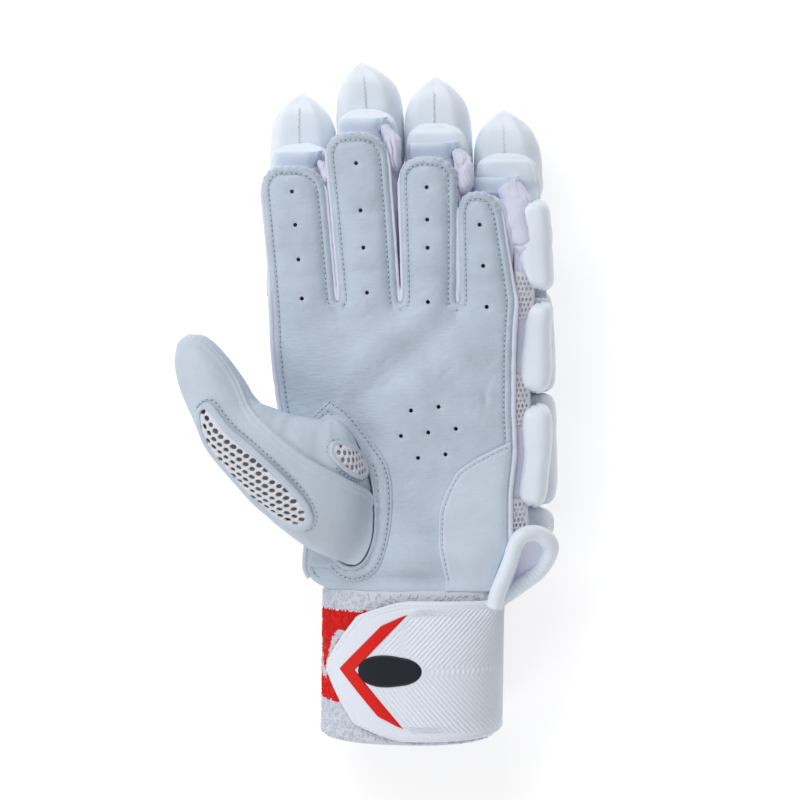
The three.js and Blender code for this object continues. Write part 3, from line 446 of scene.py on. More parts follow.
def capsules(line, up, at, long, radius, arch, sink):
    """The points of small arched capsules centred at the places `at` along a line."""
    s, a = CAPSULE_AT, turns(6)
    length = lengths(line)
    pick = lambda values, x: np.stack([np.interp(x, length, values[:, k]) for k in range(3)], 1)
    c, n = pick(line, at), pick(up, at)
    t = unit(pick(line, at + 0.5) - pick(line, at - 0.5))
    n = unit(n - t * (n * t).sum(1, keepdims=True))
    b = np.cross(t, n)
    rise = (1 - s**2) * arch - sink
    wide = radius * CAPSULE_WIDE[:, None]
    p = (c[:, None, None] + t[:, None, None] * (s * long / 2)[:, None, None]
         + n[:, None, None] * (rise[:, None] + wide * np.sin(a))[..., None]
         + b[:, None, None] * (wide * np.cos(a))[..., None])
    return p.reshape(-1, 3)


def stitches(name, rows, thread, slot, pitch=STITCH, long=1.5, radius=0.2, hole=0.22, hole_shade=None):
    """Threads along rows of (points, normals), with the pricked holes between them, whose dark finish is painted
    shade.
    """
    threads, holes = [], []
    for line, up in rows:
        total = lengths(line)[-1]
        count = int(total / pitch)
        if count < 2:
            continue
        at = (np.arange(count) + 0.5) * total / count
        threads.append(capsules(line, up, at, long, radius, 0.14, 0.05))
        holes.append(capsules(line, up, at - 0.5 * total / count, 0.66, hole, 0.0, 0.12))
    points = np.concatenate(threads + holes)
    start = np.arange(0, len(points), 30)[:, None, None]
    sides = (quads(5, 6, True) + start).reshape(-1, 4)
    ends = np.concatenate([start[:, 0] + [5, 4, 3, 2, 1, 0], start[:, 0] + [24, 25, 26, 27, 28, 29]])
    # the hole capsules take the darker finish: painted shade in the pricked holes
    dark = (np.arange(len(start)) >= sum(map(len, threads)) // 30).astype(int)
    index = np.concatenate([np.repeat(dark, 24), dark, dark])
    make(name, points, [sides, ends], [thread, hole_shade or PRICK_SHADE_M], slot=slot, face_materials=index)


# ---------------------------------------------------------------- materials
def srgb(*color):
    """Linear red, green, blue and full alpha of a colour given in 0 to 255."""
    shares = [c / 255 for c in color]
    return tuple(c / 12.92 if c <= 0.04045 else ((c + 0.055) / 1.055) ** 2.4 for c in shares) + (1.0,)


def material(name, color, rough, coat=0.0, sheen=0.0, grain=(), mottle=0.0):
    """A finish: grain is a list of (kind, size in mm, depth in mm); mottle shifts the colour a little."""
    m = bpy.data.materials.new(name)
    m.use_nodes = True
    nodes, links = m.node_tree.nodes, m.node_tree.links
    shader = nodes["Principled BSDF"]
    shader.inputs["Base Color"].default_value = srgb(*color)
    shader.inputs["Roughness"].default_value = rough
    shader.inputs["Specular IOR Level"].default_value = 0.35
    shader.inputs["Coat Weight"].default_value = coat
    shader.inputs["Coat Roughness"].default_value = 0.35
    shader.inputs["Sheen Weight"].default_value = sheen
    shader.inputs["Sheen Roughness"].default_value = 0.6
    place = nodes.new("ShaderNodeTexCoord")
    last = None
    for kind, size, depth in grain:
        if kind == "cells":
            texture = nodes.new("ShaderNodeTexVoronoi")
            texture.feature = "DISTANCE_TO_EDGE"
            out = "Distance"
        else:
            texture = nodes.new("ShaderNodeTexNoise")
            texture.inputs["Detail"].default_value = 3
            out = "Fac"
        texture.inputs["Scale"].default_value = 1000 / size
        if kind == "creases":  # long across the hand, narrow along it
            stretch = nodes.new("ShaderNodeMapping")
            stretch.inputs["Scale"].default_value = (0.32, 1.5, 1.0)
            stretch.inputs["Rotation"].default_value = (0.0, 0.0, 0.12)
            links.new(place.outputs["Object"], stretch.inputs["Vector"])
            links.new(stretch.outputs["Vector"], texture.inputs["Vector"])
        else:
            links.new(place.outputs["Object"], texture.inputs["Vector"])
        relief = nodes.new("ShaderNodeBump")
        relief.inputs["Strength"].default_value = 1.0
        relief.inputs["Distance"].default_value = depth / 1000
        links.new(texture.outputs[out], relief.inputs["Height"])
        if last:
            links.new(last.outputs["Normal"], relief.inputs["Normal"])
        last = relief
    if last:
        links.new(last.outputs["Normal"], shader.inputs["Normal"])
    if mottle:
        blot = nodes.new("ShaderNodeTexNoise")
        blot.inputs["Scale"].default_value = 60
        blot.inputs["Detail"].default_value = 4
        links.new(place.outputs["Object"], blot.inputs["Vector"])
        ramp = nodes.new("ShaderNodeValToRGB")
        ramp.color_ramp.elements[0].position = 0.3
        ramp.color_ramp.elements[1].position = 0.75
        ramp.color_ramp.elements[0].color = srgb(*[c * (1 - mottle) for c in color])
        ramp.color_ramp.elements[1].color = srgb(*[min(255, c * (1 + mottle * 0.6)) for c in color])
        links.new(blot.outputs["Fac"], ramp.inputs["Fac"])
        links.new(ramp.outputs["Color"], shader.inputs["Base Color"])
    return m


LEATHER_M = material("palm_leather", (195, 208, 222), 0.5, coat=0.08, mottle=0.045,
                     grain=[("cells", 0.8, 0.09), ("creases", 1.5, 0.3), ("noise", 5.0, 0.4)])
HEEL_M = material("heel_leather", (211, 222, 236), 0.5, coat=0.08, mottle=0.03,
                  grain=[("cells", 0.8, 0.05), ("creases", 1.5, 0.2), ("noise", 5.0, 0.25)])
THUMB_M = material("thumb_leather", (203, 214, 227), 0.48, coat=0.1, mottle=0.025,
                   grain=[("cells", 0.8, 0.05), ("creases", 1.3, 0.2), ("noise", 4.0, 0.2)])
WHITE_M = material("white_leather", (237, 245, 255), 0.42, coat=0.1, mottle=0.01,
                   grain=[("noise", 1.8, 0.05), ("noise", 7.0, 0.15)])
# painted shade: the dark finish of the pricked holes stands for the shade inside them; the soft one is a lighter
# version for white leather and the strap
PRICK_SHADE_M = material("pricked_hole_shade", (104, 113, 128), 0.9)
SOFT_PRICK_SHADE_M = material("soft_prick_shade", (190, 196, 206), 0.9)
THREAD_M = material("thread", (214, 222, 232), 0.7)
WHITE_THREAD_M = material("white_thread", (228, 231, 238), 0.7)
KNIT_M = material("knit", (222, 224, 242), 0.9, sheen=0.2, grain=[("noise", 0.5, 0.12)], mottle=0.02)
PIPING_M = material("piping", (221, 225, 240), 0.85, sheen=0.2, grain=[("noise", 0.45, 0.1)])
MESH_M = material("mesh", (230, 229, 237), 0.85, sheen=0.2, grain=[("noise", 0.35, 0.1)])
# painted shade: a grey finish for the sunk leather under the thumb's net, standing for the shade seen through its
# holes
NET_SHADE_M = material("painted_shade_under_net", (150, 150, 164), 0.95, grain=[("noise", 0.5, 0.1)])
ELASTIC_M = material("elastic", (226, 240, 255), 0.75, grain=[("noise", 0.4, 0.05)])
TERRY_M = material("terry_white", (214, 218, 228), 1.0, sheen=0.2, grain=[("noise", 0.7, 0.06)])
RED_TERRY_M = material("terry_red", (222, 24, 20), 1.0, sheen=0.1, grain=[("noise", 0.7, 0.06)])
STRAP_M = material("strap_rubber", (236, 241, 251), 0.45, grain=[("noise", 1.2, 0.02)])
RED_M = material("red_rubber", (228, 28, 20), 0.38, grain=[("noise", 1.2, 0.02)])
DARK_M = material("dark_rubber", (28, 31, 42), 0.4, grain=[("noise", 1.2, 0.02)])

# ---------------------------------------------------------------- the palm's skin
CREASES = []  # x0, y0, x1, y1, width, depth
# where short creases gather: x, y and half reach each way, their mean turn in radians, and how many
CREASE_SPOTS = ((-18, 38, 14, 10, 0.5, 5), (43, 35, 12, 10, 1.35, 5), (-28, 44, 8, 9, 1.35, 5),
                (4, 42, 9, 8, 1.35, 5), (24, 42, 9, 8, 1.35, 5), (-12, 12, 30, 24, 0.5, 6),
                (-32, 0, 14, 22, 0.5, 6), (40, -2, 10, 20, 1.35, 6), (0, -50, 14, 16, 0.5, 6),
                (20, 20, 30, 16, 0.5, 6))


def crease_set():
    """Creases where the fingers bend, and short ones at random round the spots above."""
    for k in range(4):
        for share, deep in ((0.17, 0.32), (0.52, 0.2)):
            y = mix(CROTCH_Y, finger_top(k), share)
            w = half_x(k, y) * 0.8
            m = middle_x(k, y)
            CREASES.append((m - w, y - 0.8, m + w, y + 0.6, 2.6, deep))
    for x, y, wide, high, mean, count in CREASE_SPOTS:
        for i in range(count):
            px, py = x + rng.normal() * wide * 0.4, y + rng.normal() * high * 0.4
            turn = rng.normal() * 0.5 + mean
            size = rng.uniform(4, 10)
            dx, dy = math.cos(turn) * size / 2, math.sin(turn) * size / 2
            CREASES.append((px - dx, py - dy, px + dx, py + dy, rng.uniform(0.7, 1.5), rng.uniform(0.08, 0.2)))


crease_set()


def skin(x, y):
    """Height of the palm leather with its soft waves and creases, before its edges are shaped."""
    p = np.stack([x, y], -1)
    z = palm_top(x, y) + lift(y)
    loose = smooth((CROTCH_Y - y + 4) / 16)  # the palm is slack, the finger lobes are taut
    z = z + mix(0.5, 1.1, loose) * noise(p, 31, 1) + mix(0.2, 0.36, loose) * noise(p, 12, 2) + 0.07 * noise(p, 4.5, 3)
    for x0, y0, x1, y1, wide, deep in CREASES:
        dx, dy = x1 - x0, y1 - y0
        size = math.hypot(dx, dy)
        along = ((x - x0) * dx + (y - y0) * dy) / size / size
        off = ((x - x0) * dy - (y - y0) * dx) / size
        ends = smooth((along + 0.2) / 0.4) * smooth((1.2 - along) / 0.4)
        z = z - 1.5 * deep * (bump(off, wide) - 0.45 * bump(off - 1.7 * wide, wide)) * ends
    # a broad fold runs from the thumb's crotch towards the ring finger
    off = (x + 25) * -0.626 + (y + 2) * 0.78
    along = (x + 25) * 0.78 + (y + 2) * 0.626
    reach = smooth((along + 2) / 20) * smooth((78 - along) / 24)
    z = z + reach * (1.4 * bump(off - 11, 8) - 1.8 * bump(off + 1.5, 7) + 1.0 * bump(off + 16, 9))
    # folds of soft leather above the hem: y, half height, x, half width, how far they stand out
    for fy, high, fx, wide, out in ((-73, 7, 6, 17, 3.2), (-82, 3, 4, 22, -1.9), (-61, 4, 4, 18, -1.0)):
        z = z + out * bump(y - fy, high) * bump(x - fx, wide)
    return z


GATHER = 3.4  # from pleat to pleat round a fingertip
TIP_ROUND = 13.0  # how long a lobe's round tip is


def tip_mask(flat):
    """1 near a fingertip's leather edge, 0 elsewhere."""
    x, y = flat[:, 0], flat[:, 1]
    on_lobe = lambda k: np.abs(x - middle_x(k, y)) < half_x(k, y) + 1.2
    return np.max([smooth((y - finger_top(k) + TIP_ROUND) / 7) * on_lobe(k) for k in range(4)], 0)


def palm_outline(amount=1.0):
    """The leather's outline with its small waves, or without them where amount is 0."""
    y = CROTCH_Y - PALM_LENGTH * np.linspace(1, 0.02, 70)
    pts = np.stack([edge_x(-1, y), y], 1).tolist()
    for k in range(4):
        top = finger_top(k)
        rise = np.sin(np.linspace(0, np.pi / 2, 24)[1:])
        ys = np.concatenate([np.linspace(CROTCH_Y, top - TIP_ROUND, 40), top - TIP_ROUND * (1 - rise)])
        left = top - ys
        narrow = np.where(left < TIP_ROUND, (1 - (1 - clamp(left / TIP_ROUND)) ** 2.6) ** (1 / 2.6), 1)
        side = half_x(k, ys) * narrow
        pts += np.stack([middle_x(k, ys) - side, ys], 1).tolist()
        pts += np.stack([middle_x(k, ys) + side, ys], 1)[:-1][::-1].tolist()
        if k < 3:  # the round bottom of the slit
            x0 = middle_x(k, CROTCH_Y) + half_x(k, CROTCH_Y)
            x1 = middle_x(k + 1, CROTCH_Y) - half_x(k + 1, CROTCH_Y)
            for a in np.linspace(np.pi, 2 * np.pi, 9)[1:-1]:
                pts.append([(x0 + x1) / 2 + (x1 - x0) / 2 * math.cos(a), CROTCH_Y + 1.3 * math.sin(a)])
    y = CROTCH_Y - PALM_LENGTH * np.linspace(0.02, 1, 70)
    pts += np.stack([edge_x(1, y), y], 1).tolist()
    line = resample(np.array(pts), 0.5, True)
    s = np.arange(len(line)) * 0.5
    pleats = np.sin(2 * np.pi * s / GATHER + 2 * noise(line, 9, 34))
    waves = 0.08 * noise(line, 5, 33) + tip_mask(line) * 0.4 * pleats
    return line + left_of(line) * waves[:, None] * amount


def oval(outward):
    """The hole for the thumb, or a line that far outside it."""
    return thumb(-360 * np.arange(72) / 72, 0.0, outward)[:, :2]


def disc(x, y, radius, count=12):
    a = turns(count)
    return np.stack([x + radius * np.cos(a), y + radius * np.sin(a)], 1)


OUTLINE = palm_outline()
VENT_RADIUS = 0.95
vents = [(middle_x(k, y), y) for k in range(4) for y in (mix(CROTCH_Y, finger_top(k), t) for t in VENTS[k])]
ring_x, ring_y, ring_radius = PALM_WIDTH * 0.115, -14.5, 12.5
vents.append((ring_x, ring_y))
vents += [(ring_x + ring_radius * math.cos(a), ring_y + ring_radius * math.sin(a))
          for a in (math.radians(60 * i + 8) for i in range(6))]
# the heel patch's seam, in shares of the palm's width and length
HEEL_SEAM = [(0.46, 0.524), (0.37, 0.489), (0.29, 0.452), (0.232, 0.415), (0.184, 0.34),
             (0.16, 0.27), (0.156, 0.18), (0.172, 0.1), (0.185, 0.03)]
HEEL_SEAM = np.array(HEEL_SEAM) * [PALM_WIDTH, PALM_LENGTH] + [0, HEM_Y]
HEEL_SEAM = np.stack([curve(np.linspace(0, 1, 9), HEEL_SEAM[:, k], np.linspace(0, 1, 60)) for k in (0, 1)], 1)


def rounded_edge(d, r, drop):
    """How far a turned-over edge falls at distance d from it."""
    return drop * (1 - np.sqrt(np.maximum(1 - (1 - clamp(d / r)) ** 2, 0)))


def heel_region():
    """The heel patch's outline before the palm's edge cuts it off."""
    low, far = HEM_Y - 9, PALM_WIDTH / 2 + 6
    return np.array([*HEEL_SEAM.tolist(), [HEEL_SEAM[-1][0], low], [far, low], [far, HEEL_SEAM[0][1]]])


def clip_to_palm(outline, margin):
    """Pulls the points of an outline that lie outside the palm onto its inset edge."""
    line = resample(OUTLINE, 1.0, True)
    inner = line + left_of(line) * turning(line) * margin
    out = outline.copy()
    far = ~inside(out, line) | (from_edge(out, line)[0] < margin)
    for i in np.where(far)[0]:
        out[i] = inner[np.argmin(np.linalg.norm(inner - out[i], axis=1))]
    return out[np.linalg.norm(out - np.roll(out, 1, 0), axis=1) > 0.15]


def smooth_line(points, count):
    """A smooth line through a few points, in their order."""
    points = np.array(points, float)
    at = lengths(points)
    t = np.linspace(0, at[-1], count)
    ends = np.concatenate([[2 * points[0] - points[1]], points, [2 * points[-1] - points[-2]]])
    i = np.clip(np.searchsorted(at, t, side="right") - 1, 0, len(points) - 2)
    f = ((t - at[i]) / (at[i + 1] - at[i]))[:, None]
    a, b, c, d = (ends[i + k] for k in range(4))
    return b + 0.5 * ((c - a) * f + (2 * a - 5 * b + 4 * c - d) * f**2 + (3 * (b - c) + d - a) * f**3)


# The two seams round the thumb's patch, in millimetres: up to its corner, and on round the thumb's root
OUTER_SEAM = [[(-44.3, -12.3), (-39.4, -8.1), (-32.4, -1.5)],
              [(-32.4, -1.5), (-25.3, -6.0), (-18.4, -13.7), (-12.7, -21.4), (-8.6, -27.2),
               (-6.0, -34.0), (-5.0, -42.4), (-5.2, -53.6), (-6.9, -64.8), (-8.9, -72.0),
               (-12.0, -77.0), (-17.0, -80.4), (-22.5, -81.4), (-28.2, -79.5), (-32.5, -75.5)]]
INNER_SEAM = [[(-41.5, -12.8), (-37.5, -8.8), (-33.0, -5.6)],
              [(-33.0, -5.6), (-26.8, -10.4), (-19.8, -18.6), (-14.1, -25.8), (-11.0, -32.8),
               (-9.7, -42.4), (-9.9, -53.6), (-11.5, -64.8), (-13.6, -71.8), (-17.5, -76.4),
               (-23.9, -78.2), (-29.7, -75.4)]]
OUTER_SEAM = [smooth_line(part, 30 + 6 * len(part)) for part in OUTER_SEAM]
INNER_SEAM = [smooth_line(part, 30 + 6 * len(part)) for part in INNER_SEAM]
around_root = np.concatenate([OUTER_SEAM[0][:-1], OUTER_SEAM[1], [(-60, -75), (-60, -12)]])
around_root = around_root + 1.5 * unit(around_root - [-26.5, -42.7])
PATCH_OUTLINE = clip_to_palm(resample(around_root, 1.0, True), 0.8)
HEEL_OUTLINE = clip_to_palm(resample(heel_region(), 1.2, True), 0.8)
ROW_IN = 3.3  # from the palm's edge to its row of stitches


def make_palm():
    holes = [disc(x, y, VENT_RADIUS) for x, y in vents] + [oval(-1.9)]
    rings = (0.3, 0.75, 1.3, 2.0, 2.65, 3.0, 3.35, 3.7, 4.2)
    flat, triangles, edge = cut(OUTLINE, holes, 1.15, rings, hole_rings=(0.35,))
    x, y = flat[:, 0], flat[:, 1]
    d, s = from_edge(flat, edge)
    z = skin(x, y)
    up = smooth((y - HEM_Y - 3) / 6)  # the hem is covered, so it stays plain
    under_thumb, _ = from_edge(flat, PATCH_OUTLINE)
    under_heel, _ = from_edge(flat, HEEL_OUTLINE)
    covered = np.maximum(smooth(under_thumb / 1.2 - 0.3) * inside(flat, PATCH_OUTLINE),
                         smooth(under_heel / 1.0 - 0.2) * inside(flat, HEEL_OUTLINE))
    z -= rounded_edge(d, 1.5, 1.1)
    free = up * (1 - covered)
    # the edge stands up outside the row of stitches, and the lobes swell inside it
    z += free * (0.3 * smooth(d / 1.2) * smooth((ROW_IN - d) / 1.2) - 0.55 * bump(d - ROW_IN, 0.5))
    z += free * (0.75 * smooth((d - ROW_IN) / 3.2) * smooth((y - CROTCH_Y + 12) / 20))
    # between stitches the leather rises a little, and it gathers round the fingertips
    z += free * 0.13 * np.cos(2 * np.pi * s / STITCH) * bump(d - 2.9, 1.1)
    z += free * 0.14 * noise(flat * [1, 0.6], 2.6, 36) * bump(d - 1.6, 1.6)
    z += tip_mask(flat) * 0.55 * np.sin(2 * np.pi * s / GATHER + 2 * noise(flat, 9, 34)) * bump(d - 1.2, 2.1)
    for hx, hy in vents:  # a punched hole's rim dips
        z -= 0.4 * bump(np.hypot(x - hx, y - hy) - 1.1, 1.0)
    z -= 0.9 * covered
    top = np.stack([x, y, z], 1)
    thick("palm_leather", top, top - [0, 0, LEATHER], triangles, LEATHER_M, node="palm", slot="palm_leather")


def patch(name, node, outline, holes, rows, step, finish):
    """step is the line along which the patch shows as a raised edge; its other edges lie flush."""
    flat, triangles, edge = cut(outline, holes, 1.15, (0.3, 0.7, 1.2, 1.8, 2.4), (0.3, 0.8, 1.4, 2.0))
    x, y = flat[:, 0], flat[:, 1]
    d, _ = from_edge(flat, edge)
    raised = PATCH * smooth((d + 0.6) / 3.2)
    if step is not None:
        off, _ = from_edge(flat, step, False)
        raised = mix(raised, PATCH, smooth((5 - off) / 3)) - rounded_edge(off, 0.9, 0.95) * smooth((3 - off) / 2)
        raised = raised + 0.22 * bump(off - 0.9, 0.7)
    z = skin(x, y) + 0.12 + raised
    for row in rows:  # a seam draws the leather in between its stitches
        off, s = from_edge(flat, row, False)
        pull = 0.1 * np.cos(2 * np.pi * s / STITCH) * bump(off, 0.9)
        z += -0.32 * bump(off, 0.45) + pull + 0.14 * bump(off - 1.3, 0.7)
    for hole in holes:  # the patch's lip rises against the thumb
        off, s = from_edge(flat, hole)
        z += 1.9 * bump(off - 0.7, 1.0) - 1.0 * bump(off, 0.4) + 0.12 * noise(flat, 5, 45) * bump(off, 3)
    under = np.stack([x, y, np.minimum(skin(x, y) - 0.5, z - 0.4)], 1)
    thick(name, np.stack([x, y, z], 1), under, triangles, finish, node=node, slot="palm_leather")


make_palm()
HEEL_ROW = HEEL_SEAM + 1.8 * left_of(HEEL_SEAM, False)
patch("thumb_patch_leather", "thumb_patch", PATCH_OUTLINE, [oval(0.3)], OUTER_SEAM + INNER_SEAM, None, LEATHER_M)
patch("heel_patch_leather", "heel_patch", HEEL_OUTLINE, [], [HEEL_ROW], HEEL_SEAM, HEEL_M)


# ---------------------------------------------------------------- knitted stalls
def trough(u, y, left, right, floor, flare):
    """The back and sides of the hand from the palm's left edge (u = 0) to its right one (u = 1)."""
    a = np.pi * (1 - u)
    squareness = 0.42
    middle = (left + right) / 2
    x = mix(middle, np.where(a > np.pi / 2, left, right), np.abs(np.cos(a)) ** squareness)
    lip = np.where(x < middle, under_leather(left, y), under_leather(right, y))
    down = np.abs(np.sin(a)) ** squareness
    return stacked(x - flare * down * np.cos(np.pi * u), y, mix(lip, floor, down) + lift(y))


def stall(k):
    """A knitted finger: a hollow tube under the leather, swollen on its outer side."""
    top = finger_top(k) - 0.5
    v, u = np.meshgrid(1 - (1 - np.linspace(0, 1, 40)) ** 1.35, np.arange(56) / 56, indexing="ij")
    a = 2 * np.pi * u
    c, s = np.cos(a), np.sin(a)

    def surface(into):
        y = mix(CROTCH_Y + GAP, top - into, v)
        shrink = np.maximum(1 - v**5, 0) ** 0.4
        middle, half = middle_x(k, y), half_x(k, y)
        bulge = STALL_BULGE * BULGE[k] * smooth((v - 0.2) / 0.5) * shrink
        left = middle - np.maximum((half + 0.2) * shrink - into, 0)
        right = middle + np.maximum((half + 0.4) * shrink + bulge * 1.1 - into, 0)
        x = (left + right) / 2 + power(c, 0.75) * (right - left) / 2
        over = clamp((x - middle - half * shrink) / 2.5)
        ceiling = palm_top(clamp(x, middle - half, middle + half), y) - LEATHER - 0.35 - into
        ceiling = ceiling + 0.9 * smooth(over) * shrink
        ceiling = ceiling - 2.6 * smooth(1.15 - np.abs((x - middle) / half) * 1.3) * shrink
        floor = mix(under_leather(middle, y), stall_floor(y) + into, shrink)
        centre = mix(floor, ceiling, 0.5)
        z = centre + np.where(s > 0, (ceiling - centre) * power(s, 0.45), (centre - floor) * power(s, 0.72))
        return np.stack([x, y, z + lift(y)], -1), over * shrink

    outer, over = surface(0)
    inner, _ = surface(1.4)
    n = ring_normals(outer)
    n *= np.sign(n[24, 16, 2])  # a point of the top, which looks up
    swollen = 0.75 * noise(outer * [0.45, 1, 0.6], 3.4, 50 + k)
    folds = 0.3 * noise(outer * [1, 0.35, 1], 3.2, 40 + k) + over * swollen
    rib = 0.12 * np.sin(outer[..., 1] * 2 * np.pi / 1.4) * np.sin(a * 34)
    relief = clamp(np.abs(c) * 1.6) * (folds + rib) * (1 - smooth((v - 0.97) / 0.03))
    shell("stall_" + NAMES[k] + "_knit", outer + n * relief[..., None], inner, KNIT_M,
          wrap=True, node="stall_" + NAMES[k], slot="knit")


for k in range(4):
    stall(k)


def cord_along(name, path, radius, material, slot):
    """A soft round welt along a path, whose radius may change along it."""
    step = unit(np.gradient(path, axis=0))
    side = unit(np.cross(step, [0, 0, 1.0]))
    up = np.cross(side, step)
    q = turns(8)[:, None]
    rings = path[:, None] + radius[:, None, None] * (side[:, None] * np.cos(q) + up[:, None] * np.sin(q))
    sausage(name, rings, material, slot=slot)


def curled(points):
    """The same points with the curl of the fingers."""
    out = points.copy()
    out[..., 2] += lift(out[..., 1])
    return out


# aside, half width, half length and half depth of the knitted swelling beside each fingertip
SWELLINGS = ((0.4, 2.4, 8.0, 6.0), (1.4, 3.8, 11.0, 7.5), (2.2, 4.8, 10.5, 7.5), (6.2, 7.6, 18.0, 8.0))


def knit_lumps():
    """The knitted side of a fingertip swells out past the leather, quilted by its folds."""
    for k, (aside, wide, long, deep) in enumerate(SWELLINGS):
        t, a = np.meshgrid(np.linspace(0.03, np.pi - 0.03, 70), turns(84), indexing="ij")
        y0 = finger_top(k) - long * 0.62
        y = y0 - long * power(np.cos(t), 0.9)
        closing = power(np.sin(t), 0.75)
        c, s = power(np.cos(a), 0.9) * closing, power(np.sin(a), 0.85) * closing
        edge = half_x(k, y) * (1 - 0.25 * smooth((y - finger_top(k) + 4) / 8))
        x = middle_x(k, y) + edge + aside + wide * c
        z = palm_top(middle_x(k, y) + half_x(k, y), y) - 1.6 - deep + deep * s - 4.0 * smooth((y - y0) / long)
        p = np.stack([x, y, z], -1)
        out = unit(np.stack([c / wide, -np.cos(t) / long, s / deep], -1))
        folds = 0.9 * noise(p * [0.6, 1, 0.6], 4.2, 50 + k) - 1.0 * bump(noise(p * [1, 0.7, 0.6], 6.5, 56 + k), 0.13)
        rib = 0.2 * np.sin((x + 0.25 * y) * 2 * np.pi / 1.5) * (0.7 + 0.3 * np.sin(y * 2 * np.pi / 1.1))
        relief = (folds + rib) * power(np.sin(t), 0.5)
        sausage("stall_" + NAMES[k] + "_side", curled(p + out * relief[..., None]), KNIT_M, slot="knit", pad=0.5)


knit_lumps()


def piping():
    """The knitted welt sewn to the edge of the palm and its fingers."""
    line = resample(OUTLINE, 0.55, True)
    start = int(np.argmin(line[:, 1] + 0.4 * line[:, 0] + 200 * (line[:, 0] > 0)))
    line = np.roll(line, -start, 0)
    line = line[line[:, 1] > HEM_Y + 5.0]
    side = left_of(line, False)
    inward = 1 if inside(line[40:41] + 0.8 * side[40:41], OUTLINE)[0] else -1
    x, y = line[:, 0], line[:, 1]
    tips = tip_mask(line)
    outer = smooth((CROTCH_Y + 8 - y) / 10)  # it is thicker down the sides of the palm
    radius = mix(0.82, 1.15, outer) * (1 - 0.35 * tips) * (1 + 0.1 * noise(line, 3, 60))
    moved = line - inward * side * (mix(0.22, 0.75, outer) - 0.5 * tips)[:, None]
    z = skin(x, y) - mix(1.25, 1.0, outer) - 0.3 * tips + 0.15 * noise(line, 6, 61)
    path = np.concatenate([moved, z[:, None]], 1)
    for _ in range(3):
        path[1:-1] = (path[:-2] + 2 * path[1:-1] + path[2:]) / 4
    cord_along("finger_piping", path, radius, PIPING_M, "knit")


piping()


# ---------------------------------------------------------------- stuffed rolls, pads and bars
def flattened(height, limit):
    """Heights that approach a limit softly, as where a stuffed body is pressed on."""
    over = height - limit
    return np.where(over > -0.6, limit - 0.6 + 0.6 * np.tanh((over + 0.6) / 0.6), height)


def roll_rings(middle, half, y, bottom, top, sides=44, exponent=0.86):
    a = turns(sides, 0.5)
    middle, half, bottom, top, y = (np.asarray(q, float)[:, None] for q in (middle, half, bottom, top, y))
    height = (bottom + top) / 2 + power(np.sin(a), exponent) * ((top - bottom) / 2 + 2.0)
    height = -flattened(-flattened(height, top), -bottom)
    return stacked(middle + power(np.cos(a), exponent) * half, y, height)


def rough_up(rings, seed, amount=0.25, gathers=(0.22, 0.22)):
    """Soft dents of a stuffed body, and creases at its ends."""
    n = ring_normals(rings)
    centre = rings.mean(1, keepdims=True)
    n *= np.sign((n * (rings - centre)).sum(-1, keepdims=True) + 1e-9)
    v = np.linspace(0, 1, len(rings))[:, None]
    pleats = np.sin(np.linspace(0, 2 * np.pi * 13, rings.shape[1])[None] + 2 * noise(rings, 5, seed))
    gather = (gathers[0] * bump(v, 0.09) + gathers[1] * bump(v - 1, 0.09)) * pleats
    dents = amount * noise(rings, 9, seed) + 0.3 * amount * noise(rings, 3.5, seed + 1)
    return rings + n * (dents + gather)[..., None]


def plump(v, e=7, f=0.36):
    """How full a stuffed body is along its length, from its pinched ends to its middle."""
    return np.maximum((1 - np.abs(2 * v - 1) ** e) ** f, 0.1)


def stuffed(node, rings, fill, ending="_stuffed"):
    sausage(node + ending, rings, WHITE_M, node=node, slot="white_leather", pad=fill)


def roll(name, column, low, high, seed):
    v = eased(0.06, 46)
    size = plump(v)
    y = mix(low, high, v)
    squeeze = ROLL_THICK * (1 - size) / 2
    half = column_half(column, y) * mix(1, size, 0.45)
    rings = roll_rings(column_middle(column, y), half, y, squeeze * 0.6, ROLL_THICK - squeeze)
    stuffed(name, curled(rough_up(rings, seed)), 0.85)


# a fingertip roll's half width and height, in shares, at shares of its point's length from the end
POINT_BACK = [0, 0.06, 0.2, 0.44, 0.72, 1]
POINT_WIDE = [0.012, 0.185, 0.505, 0.825, 0.965, 1]
POINT_HIGH = [0.05, 0.32, 0.62, 0.86, 0.97, 1]
POINT_LENGTH = 25


def tip_roll(k, low):
    point = roll_y(ROLL[k])
    y = np.concatenate([low + (point - POINT_LENGTH - low) * np.linspace(0.005, 1, 24)[:-1] ** 1.4,
                        point - POINT_LENGTH * (1 - np.linspace(0, 1, 40) ** 0.8)])
    size = np.maximum((1 - (1 - clamp((y - low) / 9)) ** 3) ** 0.4, 0.12)
    back = clamp((point - y) / POINT_LENGTH)
    wide, high = curve(POINT_BACK, POINT_WIDE, back), curve(POINT_BACK, POINT_HIGH, back)
    half = column_half(k, y)
    squeeze = ROLL_THICK * (1 - size * high) / 2
    x = column_middle(k, y) + half * LEAN[k] * (1 - back) * (1 - wide)
    rings = roll_rings(x, half * wide * mix(1, size, 0.45), y, squeeze, ROLL_THICK - squeeze, 64, 0.93)
    # the two halves of its cover meet in a seam down the middle
    off = (turns(64, 0.5) - np.pi / 2) * half[:, None] * wide[:, None]
    rings[..., 2] -= 0.2 * bump(off, 0.55) * smooth(back / 0.05)[:, None]
    stuffed("roll_" + NAMES[k] + "_tip", curled(rough_up(rings, 70 + k, 0.22, (0.2, 0.0))), 0.85)


BETWEEN_ROLLS = 0.8
for k in range(4):
    split = roll_y(ROLL[k] * JOINT[k])
    tip_roll(k, split + BETWEEN_ROLLS)
    rows = (("mid", roll_y(ROW_KNUCKLE), split, 90), ("knuckle", roll_y(ROW_HAND), roll_y(ROW_KNUCKLE), 95),
            ("hand", roll_y(ROW_WRIST), roll_y(ROW_HAND), 100))
    for row, low, high, seed in rows:
        roll("roll_" + NAMES[k] + "_" + row, k, low + BETWEEN_ROLLS, high, seed + k)


